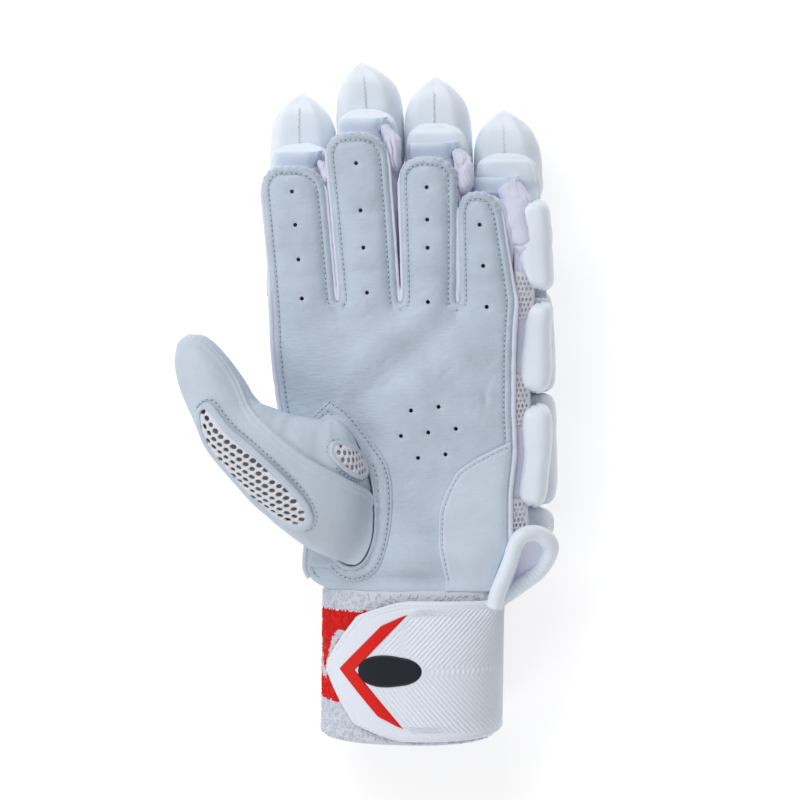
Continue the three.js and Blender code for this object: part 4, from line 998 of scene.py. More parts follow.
def wrist_pad():
    y0, y1 = roll_y(ROW_WRIST), roll_y(ROW_END)
    left, right = column_x(0, np.array([y0]))[0] + 2, column_x(4, np.array([y0]))[0] - 2
    v = eased(0.05, 90)
    size = plump(v, 12, 0.4)[:, None]
    a = turns(40, 0.5)
    z = np.clip(11 + power(np.sin(a), 0.86) * size * 13 * 0.97, 0, 22)
    along = (y0 + y1) / 2 + power(np.cos(a), 0.86) * size * 0.5 * (y0 - y1)
    stuffed("wrist_pad", curled(rough_up(stacked(mix(left, right, v)[:, None], along, z), 110)), 0.8)


wrist_pad()


def pad_high(k, y):
    """The pad's height: it swells at the fingertip and closes in a dome."""
    t = (y - CROTCH_Y) / (PAD_REACH * PAD[k])
    dome = np.sqrt(np.maximum(1 - clamp((t - 0.7) / 0.32) ** 2.4, 0))
    swell = 1 + 0.25 * smooth((y - finger_top(k)) / 6)
    return pad_thick(y) * mix(0.45, swell, dome)


def pad(k):
    end = CROTCH_Y + PAD_REACH * PAD[k]
    t = np.concatenate([np.linspace(0, 0.7, 36), 0.7 + 0.3 * np.sin(np.linspace(0, np.pi / 2, 44))[1:]])
    y = mix(CROTCH_Y + GAP, end, t)
    dome = np.sqrt(np.maximum(1 - clamp((t - 0.76) / 0.255) ** 2.6, 0))
    closing = np.sqrt(np.maximum(1 - clamp((t - 0.93) / 0.07) ** 2, 0.003))
    half = (column_half(k, y) - 0.9) * mix(0.42, 1, dome) * mix(0.3, 1, closing)
    bottom = ROLL_THICK + GAP
    high = pad_high(k, y) * mix(0.2, 1, closing)
    a = turns(64, 0.5)
    z = mix(bottom, bottom + high[:, None], (1 + power(np.sin(a), 0.62)) / 2)
    # it bulges a little towards the little finger
    middle = (column_middle(k, y) + 1.2 * smooth((t - 0.5) / 0.3))[:, None]
    x = middle + power(np.cos(a), 0.62) * half[:, None]
    rings = rough_up(stacked(x, y[:, None], z), 120 + k, 0.4, (0.0, 0.0))
    # a stitched line runs round its end, a little inside its edge
    rim = np.minimum(half[:, None] - np.abs(rings[..., 0] - middle), (end - rings[..., 1]) * 0.9)
    top = np.sin(a) > 0.2
    rings[..., 2] -= 0.5 * bump(rim - 2.3, 0.55) * top * smooth((t[:, None] - 0.45) / 0.1)
    rings[..., 2] -= 0.12 * np.sin(rings[..., 1] * 2.7 + rings[..., 0] * 1.9) * bump(rim - 1.5, 1.2) * top
    stuffed("pad_" + NAMES[k], curled(rings), 0.7)


for k in range(4):
    pad(k)


TAPE_WIDE, TAPE_HALF = 6.9, 0.62  # its width in mm, and its half length as a share of the roll's


def elastic(k):
    """A tape over the pad; its right end turns down and shows its folded edge."""
    low = finger_top(k) - 0.4
    middle = lambda y: mix(middle_x(k, y), column_middle(k, y), 0.5)
    floor = lambda y: ROLL_THICK + 2 * GAP + pad_high(k, y)
    v, u = np.meshgrid(np.linspace(0, 1, 22), np.linspace(0, 1, 56), indexing="ij")

    def surface(into, weave=0.0):
        y = mix(low, low + TAPE_WIDE, v) + 0.5 * smooth((u - 0.7) / 0.3) * v - 0.35 * np.sin(np.pi * u) * (1 - v)
        half = TAPE_HALF * column_half(k, y) - into
        a = np.pi * (1 - u)
        x = middle(y) + power(np.cos(a), 0.5) * half
        x = x + smooth((u - 0.8) / 0.2) * (2.6 * (v - 0.25)) - 0.6 * (1 - smooth(u / 0.2)) * (1 - v)
        up = 7.6 - into + weave * np.cos(v * 2 * np.pi * 11) * np.cos(u * 2 * np.pi * 30)
        sag = 0.4 * np.sin(np.pi * v) - 0.25 * (1 - v) ** 3 + 0.25 * noise(np.stack([x, y], -1), 5, 65 + k)
        return stacked(x, y, floor(y) + power(np.sin(a), 0.5) * (up + sag) + lift(y))

    name = "elastic_" + NAMES[k]
    shell(name + "_tape", surface(0, 0.05), surface(1), ELASTIC_M, node=name, slot="elastic_tape")
    # the tape's end, folded back on itself at the right
    v, u = np.meshgrid(np.linspace(0, 1, 22), np.linspace(0, 1, 30), indexing="ij")
    y = mix(low + 0.4, low + TAPE_WIDE, v) + 0.5
    right = middle(y) + TAPE_HALF * column_half(k, y) + 2.6 * (v - 0.25)
    a = np.pi * (0.5 - 0.95 * u)
    x = right - 0.7 + 1.9 * np.cos(a) * (0.5 + 0.6 * v)
    p = np.stack([x, y, floor(y) + 4.6 + 2.6 * np.sin(a) + lift(y) - 1.2 * (1 - v)], -1)
    shell(name + "_fold", p, p - 0.8 * normals_of(p), ELASTIC_M, slot="elastic_tape")


for k in range(4):
    elastic(k)


def bar(name, low, high, seed):
    v = eased(0.05, 70)
    size = plump(v, 9, 0.42)
    y = mix(low, high, v)
    finger = middle_x(3, y) + half_x(3, y) - 1 + STALL_BULGE * BULGE[3]
    hand = edge_x(1, y) - 1.6 + 0.46 * side_flare(y)
    inner = np.where(y > CROTCH_Y, np.maximum(finger, edge_x(1, y)), hand) + GAP
    a = turns(56, 0.5)
    across = power(np.cos(a), 0.66)
    wide = 7.3 * size * (1 + 0.08 * np.sin(np.pi * v * 2 + seed))
    x = (inner + 7.1 + 1.5 * (v - 0.5) * 0.4)[:, None] + across * wide[:, None]
    z = (stall_floor(y) + 8.5)[:, None] + power(np.sin(a), 0.7) * (8.5 * size)[:, None]
    rings = rough_up(stacked(x, y[:, None] + 1.1 * across * (v[:, None] - 0.5), z), seed, 0.45, (0.5, 0.5))
    # a sewn line near its inner edge, puckered across
    off = rings[..., 0] - (x.min(1) + 2.0)[:, None]
    puckers = 0.15 * np.sin(rings[..., 1] * 2.8) * bump(off + 0.6, 1.1)
    rings[..., 2] -= (np.sin(a) > 0.3) * (0.55 * bump(off, 0.5) + puckers)
    stuffed(name, curled(rings), 0.8)


BARS = (("finger", 0.045, 0.41, 130), ("knuckle", -0.385, -0.012, 132), ("hand", -0.87, -0.445, 134))
for which, low, high, seed in BARS:
    bar("side_bar_" + which, roll_y(low), roll_y(high), seed)


def back_panel():
    v, u = np.meshgrid(np.linspace(0, 1, 50), np.linspace(0, 1, 80), indexing="ij")

    def surface(into):
        y = mix(HEM_Y, CROTCH_Y - GAP, v)
        left, right = edge_x(-1, y) + 1.6 + into, edge_x(1, y) - 1.6 - into
        return trough(u, y, left, right, ROLL_THICK + GAP + into, side_flare(y))

    outer = surface(0)
    rib = 0.25 * np.sin(outer[..., 1] * 2 * np.pi / 2.2) * np.sin(outer[..., 2] * 2 * np.pi / 2.2)
    n = normals_of(outer)
    n *= -np.sign(n[30, 45, 2])  # a point of the back, which looks down
    folds = 0.5 * noise(outer * [1, 0.6, 1], 6, 140)
    shell("back_panel_knit", outer + n * (rib + folds)[..., None], surface(2.2), KNIT_M,
          node="back_panel", slot="knit")


back_panel()


# ---------------------------------------------------------------- the thumb
# where each net lies: shares along the thumb, degrees round it at both ends, and half its width in degrees
MESH_OVAL = dict(lo=0.19, hi=0.61, start=39, end=21, half=25)
WEB_OVAL = dict(lo=0.05, hi=0.195, start=-19, end=-39, half=11)


def seam_at(t):
    return curve(SEAM_AT, SEAM_AROUND, clamp(t))


def thumb_wrinkles(p):
    return 0.05 * noise(p, 2.2, 151) + 0.16 * noise(p, 7, 152) + 0.3 * noise(p, 17, 153)


def in_oval(around, t, o):
    """How many degrees a place lies inside a net's outline."""
    v = (t - o["lo"]) / (o["hi"] - o["lo"])
    wide = o["half"] * np.maximum(1 - np.abs(2 * clamp(v) - 1) ** 3.2, 0) ** 0.45
    return wide - np.abs(around - mix(o["start"], o["end"], v))


def degree_at(around, t, outward=0.0):
    """The length of one degree round the thumb."""
    return np.linalg.norm(thumb(around + 1, t, outward) - thumb(around - 1, t, outward), axis=-1) / 2


def thumb_panel(name, node, lo, hi, nu, nv, lip_lo=0.0, sunk_hi=0.0, sink=False, folds=0.0):
    """lo and hi are angles along the thumb; a lip raises an edge over the next panel, which is sunk there."""
    v, u = np.meshgrid(np.linspace(0, 1.04, nv), np.linspace(0, 1, nu), indexing="ij")
    u = u - 0.12 * np.sin(2 * np.pi * u)  # finer cells near both edges
    a0, a1 = lo(v), hi(v)
    around = mix(a0, a1, u)
    scale = degree_at(around, v)
    d0, d1 = (around - a0) * scale, (a1 - around) * scale
    out = thumb_wrinkles(thumb(around, v, 0.0))
    end = 1 - smooth((v - 0.9) / 0.1)
    for d, lip in ((d0, lip_lo), (d1, 0.0)):
        out = out + lip * (1 - smooth((d - 1.2) / 4.0)) * end - rounded_edge(d, 1.0, 0.9) * end
        if lip > 0:  # its row of stitches pulls it in
            pull = 0.1 * np.sin(v * THUMB_LENGTH * 2.0 + 1.5 * np.sin(v * 31)) * bump(d - 1.2, 1.2)
            out = out - 0.35 * bump(d - 2.3, 0.5) * end + pull * end
    out = out - sunk_hi * (1 - smooth((d1 - 1.0) / 5.0)) * end
    turn = np.radians(around)
    if folds:  # the web creases where the thumb bends
        where = smooth((v - 0.12) / 0.1) * smooth((0.62 - v) / 0.16)
        across = np.stack([v * THUMB_LENGTH + 7 * np.sin(turn * 1.3), turn * 6], -1)
        creases = 0.75 * noise(across * [1, 0.28], 4.6, 155) + 0.3 * noise(across * [1, 0.4], 2.2, 156)
        out = out + where * folds * creases
    gathers = 0.3 * np.sin(turn * 13 + 1.3 * np.sin(3 * turn)) * (1 - 0.5 * smooth((v - 1) / 0.04))
    out = out + smooth((v - 0.9) / 0.08) * gathers
    edge = in_oval(around, v, MESH_OVAL)
    beside_net = (v < 0.62) & (v > 0.18)
    if sink:
        out = out - 2.3 * smooth((edge - 0.5) / 3) * beside_net
    thing = shell(name, thumb(around, v, out), thumb(around, v, out - 1.3), [THUMB_M, NET_SHADE_M],
                  node=node, slot="palm_leather")
    if sink:  # painted shade: the sunk leather under the net takes a grey finish that shows through its holes as their shade
        second_material(thing, ((edge > 1.5) & beside_net)[:-1, :-1])


thumb_panel("thumb_outer_leather", "thumb_outer", lambda t: seam_at(t) - 2.0, lambda t: t * 0 + 134.8, 96, 120,
            lip_lo=1.15, sink=True)
thumb_panel("thumb_inner_leather", "thumb_inner", lambda t: t * 0 - 129.8, lambda t: seam_at(t) + 1.0, 96, 122,
            sunk_hi=0.75, folds=1.0)
thumb_panel("thumb_back_leather", "thumb_back", lambda t: t * 0 + 135.2, lambda t: t * 0 + 229.8, 40, 72)


def oval_plane(o):
    """Maps flat millimetres (w across, l along) on a net to the thumb: returns the map and its outline."""
    span = o["hi"] - o["lo"]
    middle = lambda t: mix(o["start"], o["end"], (t - o["lo"]) / span)
    ts = np.linspace(o["lo"], o["hi"], 200)
    length = lengths(thumb(middle(ts), ts, 1.0))
    degree = degree_at(middle(ts), ts, 1.0)

    def place(w, l, out):
        beyond = np.minimum(l, 0) / length[-1] * span + np.maximum(l - length[-1], 0) / length[-1] * span
        t = np.interp(l, length, ts) + beyond
        return thumb(middle(t) + w / np.interp(l, length, degree), t, out)

    def border(beyond, count=160):
        a = np.linspace(0, 2 * np.pi, count, endpoint=False)
        l = length[-1] * (0.5 + 0.5 * np.sin(a))
        p = np.stack([power(np.cos(a), 0.8) * o["half"] * np.interp(l, length, degree), l], 1)
        side = -left_of(p)
        return p + side * beyond, side

    return place, border


def round_holes(flat, holes, reach):
    """Distance of each point to the nearest hole's edge, and 9 where none is near."""
    d = np.full(len(flat), 9.0)
    for h in holes:
        near = np.linalg.norm(flat - h.mean(0), axis=1) < reach
        if near.any():
            d[near] = np.minimum(d[near], from_edge(flat[near], h)[0])
    return d


def mesh_insert(name, node, o, pitch, hole, tilt):
    """A net with oval holes, and the map to the thumb and outline that its rim follows."""
    place, border = oval_plane(o)
    edge, _ = border(1.2)
    low, high = edge.min(0), edge.max(0)
    holes = []
    c, s = math.cos(tilt), math.sin(tilt)
    n = int(max(high - low) / pitch) + 4
    middle = (low + high) / 2
    for j in range(-n, n + 1):
        for i in range(-n, n + 1):
            gx, gy = (i + 0.5 * (j % 2)) * pitch, j * pitch * 0.8
            spot = np.array([[middle[0] + c * gx - s * gy, middle[1] + s * gx + c * gy]])
            if not inside(spot, edge)[0] or from_edge(spot, edge)[0][0] < hole * 0.55 + 0.4:
                continue
            a = turns(14)
            q = np.stack([hole / 2 * 1.22 * np.cos(a), hole / 2 * 0.88 * np.sin(a)], 1) * (1 + 0.05 * rng.normal())
            turn = tilt + 0.5 + 0.15 * rng.normal()
            holes.append(spot + q @ [[math.cos(turn), math.sin(turn)], [-math.sin(turn), math.cos(turn)]])
    flat, triangles, _ = cut(edge, holes, 0.62, hole_rings=(0.22,))
    d = round_holes(flat, holes, hole + 1.5)
    out = 1.5 - rounded_edge(d, 0.6, 0.6) + 0.3 * noise(flat, 9, 160) + 0.06 * noise(flat, 0.9, 161)
    w, l = flat.T
    thick(name, place(w, l, out), place(w, l, 0 * out + 0.55), triangles, MESH_M, node=node, slot="mesh_fabric")
    return place, border


MESH_PLACE, MESH_BORDER = mesh_insert("thumb_mesh_net", "thumb_mesh", MESH_OVAL, 3.9, 2.35, 0.35)
WEB_PLACE, WEB_BORDER = mesh_insert("web_mesh_net", "web_mesh", WEB_OVAL, 3.5, 2.1, 0.2)


def binding(name, place, border, wide, high, seed, node=None):
    """A rolled leather rim round a mesh insert."""
    edge, side = border(0.0)
    q = np.linspace(0, 2 * np.pi, 20, endpoint=False)
    across, up = wide * (0.72 + np.cos(q)), high * (0.9 + power(np.sin(q), 0.85))
    w = edge[:, None, 0] + side[:, None, 0] * across
    l = edge[:, None, 1] + side[:, None, 1] * across
    soft = 0.07 * noise(np.stack([w, l], -1), 3.5, seed)
    make(name, place(w, l, 0.5 + up * (1 + soft)), quads(len(edge), 20, True, True), THUMB_M,
         node=node, slot="palm_leather")


binding("thumb_binding_leather", MESH_PLACE, MESH_BORDER, 1.55, 1.05, 170, node="thumb_binding")
binding("web_binding_leather", WEB_PLACE, WEB_BORDER, 0.95, 0.85, 171)


def guard(node, lo, hi, mid, half, seed):
    """A stuffed pad on the thumb's back: shares along the thumb, its middle and half width in degrees."""
    a, r = np.meshgrid(np.linspace(0, 2 * np.pi, 72, endpoint=False), np.linspace(0.02, 1, 28), indexing="ij")
    v = mix(lo, hi, 0.5 + 0.5 * r * power(np.sin(a), 0.8))
    around = mid + half * 0.96 * r * power(np.cos(a), 0.8)
    p = thumb(around, v, 0.7 + 9 * np.maximum(1 - r**3.2, 0) ** 0.5)
    rings = np.concatenate([p, thumb(around[:, -1:], v[:, -1:], 0.4)], 1).transpose(1, 0, 2)
    stuffed(node, rings + 0.25 * noise(rings, 7, seed)[..., None] * [0, 0, 1], 0.85)


guard("thumb_guard_lower", 0.42, 0.66, 172, 44, 175)
guard("thumb_guard_upper", 0.68, 0.93, 172, 46, 176)


# ---------------------------------------------------------------- the wrist
BAND_ROUND = 213  # the towelling's length round the wrist
TERRY_LOOPS = 5300
STRAP_HALF, STRAP_TOP, STRAP_COVERS = 30.75, 1 + 2.2, 112  # half width, height above the towelling, length
PER_DEGREE = math.pi * (80 + 50) / 4 / 180 * 1.06
STRAP_Y = BAND_TOP - 3 - STRAP_HALF
STRAP_START, STRAP_END = -48.0, 144.0
strap_angle = lambda back: STRAP_END - back / PER_DEGREE


def in_red(along, y):
    """The towelling's red band, with a plain white wave along it."""
    high, long = 9.0, 27
    turn = 2 * np.pi * (along - 73.0) / long
    wave = -116.3 + high * np.sin(turn)
    slope = np.cos(turn) * high * 2 * np.pi / long
    return (y < -96.0) & (y > -137.0) & ~(np.abs(y - wave) < 2.3 * np.sqrt(1 + slope**2))


def strap_end(aside):
    """How far back the strap's pointed outline lies beside its middle line."""
    return np.where(aside < 23.77, np.maximum(0, aside - 2) / 1.3026, 16.71 + (aside - 23.77) / 0.4286)


def under_strap(angle, y):
    """True where the closed strap covers the towelling."""
    aside = np.abs(y - STRAP_Y)
    back = (STRAP_END - np.where(angle > 200, angle - 360, angle)) * PER_DEGREE
    return (back > strap_end(np.minimum(aside, 29.0)) + 2.5) & (back < STRAP_COVERS) & (aside < 29.0)


def wristband():
    nv, nu = 66, 210
    v, u = np.meshgrid(np.linspace(0, 1, nv), np.arange(nu) / nu, indexing="ij")
    y = mix(BAND_LOW, BAND_TOP + 1.6, v)
    pile = 0.06 * noise(np.stack([u * BAND_ROUND, y], -1), 4, 181)
    hem = smooth(v / 0.012) * smooth((1 - v) / 0.012)
    outer = band(360 * u, y, (pile + 0.1) * hem - 0.7 * (1 - hem) - 0.6 * under_strap(360 * u, y))
    inner = band(360 * u, y, -3.0 + 0.2 * rng.uniform(-1, 1, (nv, nu)))
    outer[..., 2] = np.maximum(outer[..., 2], 0.02)
    thing = shell("wristband_towelling", outer, inner, [TERRY_M, RED_TERRY_M],
                  wrap=True, node="wristband", slot="towelling")
    ym = (y[:-1] + y[1:]) / 2 + 0.5 * rng.uniform(-1, 1, (nv - 1, nu))
    um = u[:-1] * BAND_ROUND + 0.5 * rng.uniform(-1, 1, (nv - 1, nu))
    second_material(thing, in_red(um, ym))


def terry_loops():
    """Short loops of yarn that stand on the towelling where it shows."""
    count = 17000
    angle = rng.uniform(0, 360, count)
    y = rng.uniform(BAND_LOW + 0.5, BAND_TOP - 0.4, count)
    shown = ~under_strap(angle, y)
    angle, y = angle[shown][:TERRY_LOOPS], y[shown][:TERRY_LOOPS]
    foot = band(angle, y, 0.16)
    up = unit(band(angle, y, 1.12) - foot)
    side = unit(np.cross(up, rng.normal(size=(len(foot), 3))))
    other = np.cross(up, side)
    size = rng.uniform(0.75, 1.05, len(foot))[:, None, None, None]
    q = turns(4)[:, None]
    s = np.array([-0.8, 0.0, 0.8])[:, None]
    ring = other[:, None, None] * (0.42 * np.cos(q)) + up[:, None, None] * (0.62 * np.sin(q))
    loop = side[:, None, None] * (0.78 * s)[:, None] + ring * np.sqrt(1 - s**2)[:, None]
    rings = foot[:, None, None] + size * loop
    rings[..., 2] = np.maximum(rings[..., 2], 0.01)
    start = 12 * np.arange(len(foot))[:, None]
    sides = (quads(3, 4, True) + start[:, None]).reshape(-1, 4)
    ends = np.concatenate([start + [3, 2, 1, 0], start + [8, 9, 10, 11]])
    red = in_red(angle / 360 * BAND_ROUND, y).astype(int)
    thing = make("wristband_loops", rings, [sides, ends], [TERRY_M, RED_TERRY_M], slot="towelling",
                 face_materials=np.concatenate([np.repeat(red, 8), red, red]))
    thing.data.polygons.foreach_set("use_smooth", np.zeros(len(thing.data.polygons), bool))


# true lengths along the strap's face against angles round the wrist
ARC_ANGLES = np.linspace(185, -60, 1200)
ARC_LENGTHS = lengths(band(ARC_ANGLES, STRAP_Y + 0 * ARC_ANGLES, STRAP_TOP))
ARC_LENGTHS = ARC_LENGTHS - np.interp(STRAP_END, ARC_ANGLES[::-1], ARC_LENGTHS[::-1])


def unrolled(back):
    """The true length along the strap at a place given in even degrees, and the other way round."""
    return np.interp(strap_angle(back), ARC_ANGLES[::-1], ARC_LENGTHS[::-1])


def rolled(length):
    return (STRAP_END - np.interp(length, ARC_LENGTHS, ARC_ANGLES)) * PER_DEGREE


wristband()
terry_loops()
# the chevron's outer and inner edge: true lengths back on the middle line, and at its wings' ends
OUTER_0, OUTER_1, INNER_0, INNER_1 = unrolled(np.array([9.4, 26.6, 17.0, 33.2]))
BADGE_BACK, BADGE_LONG, BADGE_WIDE = 28, 9.6, 7.0  # its middle and half sizes


def chevron_edges(up):
    """The red chevron's outer and inner edge, beside the strap's middle line."""
    return rolled(OUTER_0 + (OUTER_1 - OUTER_0) * up / 20), rolled(INNER_0 + (INNER_1 - INNER_0) * up / 25)


def strap():
    total = (STRAP_END - STRAP_START) * PER_DEGREE
    v, u = np.meshgrid(np.linspace(-1, 1, 60), np.linspace(0, 1, 370), indexing="ij")
    v = 0.72 * v + 0.28 * np.sin(v * np.pi / 2)  # finer rows near both edges
    aside = v * STRAP_HALF
    far = np.abs(aside)
    lead = strap_end(far)
    back = lead * (1 - u) + u * total
    to_end = (back - lead) * np.where(far < 23.77, 0.79, 0.39)
    d = np.minimum(np.minimum(STRAP_HALF - far, to_end), total - back + 1.0)
    rib = (0.5 + 0.5 * np.cos(2 * np.pi * (unrolled(back) - 0.93 * far) / 2.35)) ** 1.2
    ribbed = smooth((back - chevron_edges(far)[1] - 0.9) / 0.7) * smooth((d - 3.6) / 0.5)
    in_badge = 1.12 - np.hypot((back - BADGE_BACK) / (BADGE_LONG + 0.6), aside / (BADGE_WIDE + 0.6))
    ribbed = ribbed * (1 - smooth(in_badge / 0.1))
    height = STRAP_TOP - rounded_edge(d, 0.9, 0.8) - 0.5 * (1 - rib) * ribbed
    height = height - 0.3 * bump(d - 3.1, 0.3) * (back > 2) + 0.12 * bump(d - 1.9, 1.0)
    outer = band(strap_angle(back), STRAP_Y + aside, height)
    inner = band(strap_angle(back), STRAP_Y + aside, 0.9 + 0 * height)
    shell("strap_ribbed", outer, inner, STRAP_M, node="strap", slot="strap_rubber")


strap()


def inlays():
    """The strap's red chevron and dark oval badge."""
    v, u = np.meshgrid(np.linspace(0, 1, 16), np.linspace(-1, 1, 200), indexing="ij")
    aside = u * 24.9
    up = np.abs(aside)
    outer, inner = chevron_edges(up)
    outer = mix(outer, inner, clamp((up - 19.8) / 5.1))
    back = mix(outer, inner, v)
    edge = np.minimum(v, 1 - v) * np.maximum(inner - outer, 0.2)
    p = band(strap_angle(back), STRAP_Y + aside, STRAP_TOP + 0.12 + 0.5 * smooth(edge / 0.5))
    low = band(strap_angle(back), STRAP_Y + aside, 0 * back + 2.9)
    shell("strap_chevron_red", p, low, RED_M, node="strap_chevron", slot="red_rubber")
    a, r = np.meshgrid(np.linspace(0, 2 * np.pi, 90, endpoint=False), np.linspace(0.03, 1, 24), indexing="ij")
    back, aside = BADGE_BACK + BADGE_LONG * r * np.cos(a), BADGE_WIDE * r * np.sin(a)
    p = band(strap_angle(back), STRAP_Y + aside, 3.4 + 0.5 * smooth((1 - r) / 0.08))
    low = band(strap_angle(back[:, -1:]), STRAP_Y + aside[:, -1:], 2.8)
    sausage("strap_badge_dark", np.concatenate([p, low], 1).transpose(1, 0, 2), DARK_M,
            node="strap_badge", slot="dark_rubber")


inlays()

# the wrist opening's rim, in shares of the palm's width, length and height
GUSSET = [(0.372, -0.05, 0.9), (0.3885, 0.004, 0.93), (0.434, 0.105, 0.93), (0.472, 0.19, 0.915),
          (0.54, 0.213, 0.85), (0.597, 0.18, 0.76), (0.6, 0.13, 0.68), (0.55, 0.06, 0.62),
          (0.46, 0.0, 0.6), (0.385, -0.045, 0.62)]
GUSSET = np.array(GUSSET) * [PALM_WIDTH, PALM_LENGTH, PALM_Z] + [0, HEM_Y, 0]


def gusset():
    """The padded rim of the wrist opening and the knit inside it."""
    pitch = 0.7
    path = resample(smooth_line(GUSSET, 240), pitch)
    step = unit(np.gradient(path, axis=0))
    side = np.array([PALM_WIDTH * 0.5, HEM_Y + PALM_LENGTH * 0.1, PALM_Z * 0.75]) - path
    side = unit(side - step * (side * step).sum(1, keepdims=True))
    up = np.cross(step, side)
    path = path + 1.1 * side
    q = turns(30)
    s = np.arange(len(path)) * pitch
    swell = 3.7 + 0.45 * noise(path, 9, 190)
    r = swell[:, None] + 0.16 * np.sin(s * 2.7)[:, None] * bump(np.cos(q) - 0.6, 0.5)
    r = r - 0.45 * bump(np.cos(q - 0.9) - 1, 0.06)  # the seam along it
    p = path[:, None] + side[:, None] * (r * np.cos(q))[..., None] + up[:, None] * (r * np.sin(q))[..., None]
    stuffed("gusset_rim", curled(p), 0.9, "_padded")
    deep = np.array([PALM_WIDTH * 0.452, HEM_Y + PALM_LENGTH * 0.065, PALM_Z * 0.6])
    rim = np.concatenate([path[6:-6], np.linspace(path[-6], path[6], 24)[1:-1]])
    v = np.linspace(0, 1, 22)[:, None, None]
    inward = deep - rim
    start = 1.6 / np.linalg.norm(inward, axis=1)[:, None]
    grid = rim + inward * mix(start, 0.97, v)
    w = v[..., 0]
    closing = smooth(w / 0.2) * smooth((1 - w) / 0.2)
    folds = (1.3 * noise(grid * [1, 1, 0.5], 6.5, 195) + 0.4 * noise(grid, 2.8, 196)) * closing
    n = normals_of(grid)
    knit = 0.1 * np.sin(grid[..., 1] * 4.2) * np.sin(grid[..., 0] * 4.2)
    shell("gusset_panel_knit", grid + n * (folds + knit)[..., None], grid - n * 1.2, KNIT_M,
          node="gusset_panel", slot="knit", wrap=True)


gusset()


WALL_WIDE = 8.4


def along(y, size, seed):
    """Soft unevenness along a line."""
    return noise(np.stack([y, 0 * y], -1), size, seed)


def side_wall(u, y, out):
    """The side of the hand from the palm's edge (u = 0) to under the bars (u = 1)."""
    x = edge_x(1, y) - 0.8 + (WALL_WIDE + 0.25 * along(y, 9, 220)) * u
    sag = 0.4 * np.sin(np.pi * u) * along(y, 11, 221)
    return stacked(x, y, under_leather(edge_x(1, y), y) - 0.3 - 1.0 * u - 6.0 * u**2.2 + sag + out + lift(y))


def knit_wall():
    """A soft ribbed knit fills the side between the palm's piping and the bars."""
    u, y = np.meshgrid(np.linspace(0, 1, 36), np.linspace(HEM_Y + 9, CROTCH_Y + 26, 200), indexing="ij")
    rib = 0.22 * np.cos(u * WALL_WIDE * 2 * np.pi / 1.5) * (0.75 + 0.25 * np.cos(y * 2 * np.pi / 1.2))
    pleats = 0.22 * np.sin(2 * np.pi * y / 7.5 + 2.5 * along(y, 14, 222)) * u * smooth((1 - u) / 0.3)
    shell("side_knit_wall", side_wall(u, y, rib + pleats), side_wall(u, y, -1.0 + pleats), KNIT_M, slot="knit")


knit_wall()


def side_nets():
    """Open mesh let into the knitted side between the palm's edge and the bars."""
    wide = 13
    for number, (low, high) in enumerate(((-66.0, -44.0), (-12.0, 12.0), (36.0, 58.0))):
        edge = np.array([(0, low), (wide, low + 1.5), (wide, high - 1.5), (0, high)], float)
        holes = []
        for j in range(int((high - low) / 2.5) + 1):
            for i in range(5):
                x, y = 1.6 + 2.7 * i + 1.35 * (j % 2), low + 2.2 + 2.35 * j
                if x < wide - 1.2 and y < high - 2.0:
                    holes.append(disc(x, y, 0.78 + 0.08 * rng.normal(), 10))
        flat, triangles, _ = cut(edge, holes, 0.7, hole_rings=(0.22,))
        place = lambda out: side_wall(0.06 + 0.9 * flat[:, 0] / wide, flat[:, 1], 0.25 + 0.5 * out)
        out = 1.2 - rounded_edge(round_holes(flat, holes, 3), 0.5, 0.4) + 0.7 * noise(flat, 7, 200 + number)
        thick("side_net_" + "abc"[number], place(out), place(out * 0 + 0.2), triangles, MESH_M, slot="mesh_fabric")


side_nets()


# ---------------------------------------------------------------- stitching
def on_skin(line, above):
    """Points over a flat line on the palm, and the leather's normals there."""
    x, y = line.T
    e = 0.4
    nx = -(skin(x + e, y) - skin(x - e, y)) / (2 * e)
    ny = -(skin(x, y + e) - skin(x, y - e)) / (2 * e)
    return np.stack([x, y, skin(x, y) + above], 1), unit(np.stack([nx, ny, np.ones(len(nx))], 1))


def parallel(line, by, allowed):
    """The stretches beside a closed line that keep clear of it and lie where `allowed` says."""
    line = resample(line, 0.8, True)
    moved = line + left_of(line) * turning(line) * by
    good = (from_edge(moved, line)[0] > abs(by) - 0.05) & allowed(moved)
    rows, run = [], []
    for p, g in zip(moved.tolist(), good):
        if g:
            run.append(p)
        elif run:
            rows.append(np.array(run))
            run = []
    if run and good[0] and rows:
        rows[0] = np.concatenate([run, rows[0]])
    elif run:
        rows.append(np.array(run))
    return [r for r in rows if len(r) > 6]


def clear_of_patches(p):
    return ~inside(p, PATCH_OUTLINE) & ~inside(p, HEEL_OUTLINE) & (p[:, 1] > HEM_Y + 4)


def seams_on_palm():
    rows = []
    for r in parallel(palm_outline(0.0), ROW_IN, clear_of_patches):
        line, up = on_skin(r, -0.12)
        line[:, 2] += 0.3 * tip_mask(r)
        rows.append((line, up))
    stitches("palm_stitches", rows, THREAD_M, "palm_leather")
    free = lambda r: r[inside(r, OUTLINE) & (from_edge(r, OUTLINE)[0] > 1.5)]
    seams = [(free(r), 1.0) for r in OUTER_SEAM] + [(free(r), 1.22) for r in INNER_SEAM]
    rows = [on_skin(r, above) for r, above in seams if len(r) > 6]
    stitches("thumb_patch_stitches", rows, THREAD_M, "palm_leather")
    stitches("heel_patch_stitches", [on_skin(free(HEEL_ROW), 1.0)], THREAD_M, "palm_leather")


def seams_on_thumb():
    """The rows round both nets."""
    rows = []
    for place, border, by in ((MESH_PLACE, MESH_BORDER, 4.3), (WEB_PLACE, WEB_BORDER, 2.6)):
        edge, _ = border(by, 220)
        w, l = np.concatenate([edge, edge[:2]]).T
        q = place(w, l, 0.25)
        rows.append((q, place(w, l, 1.5) - q))
    stitches("thumb_stitches", rows, THREAD_M, "palm_leather")


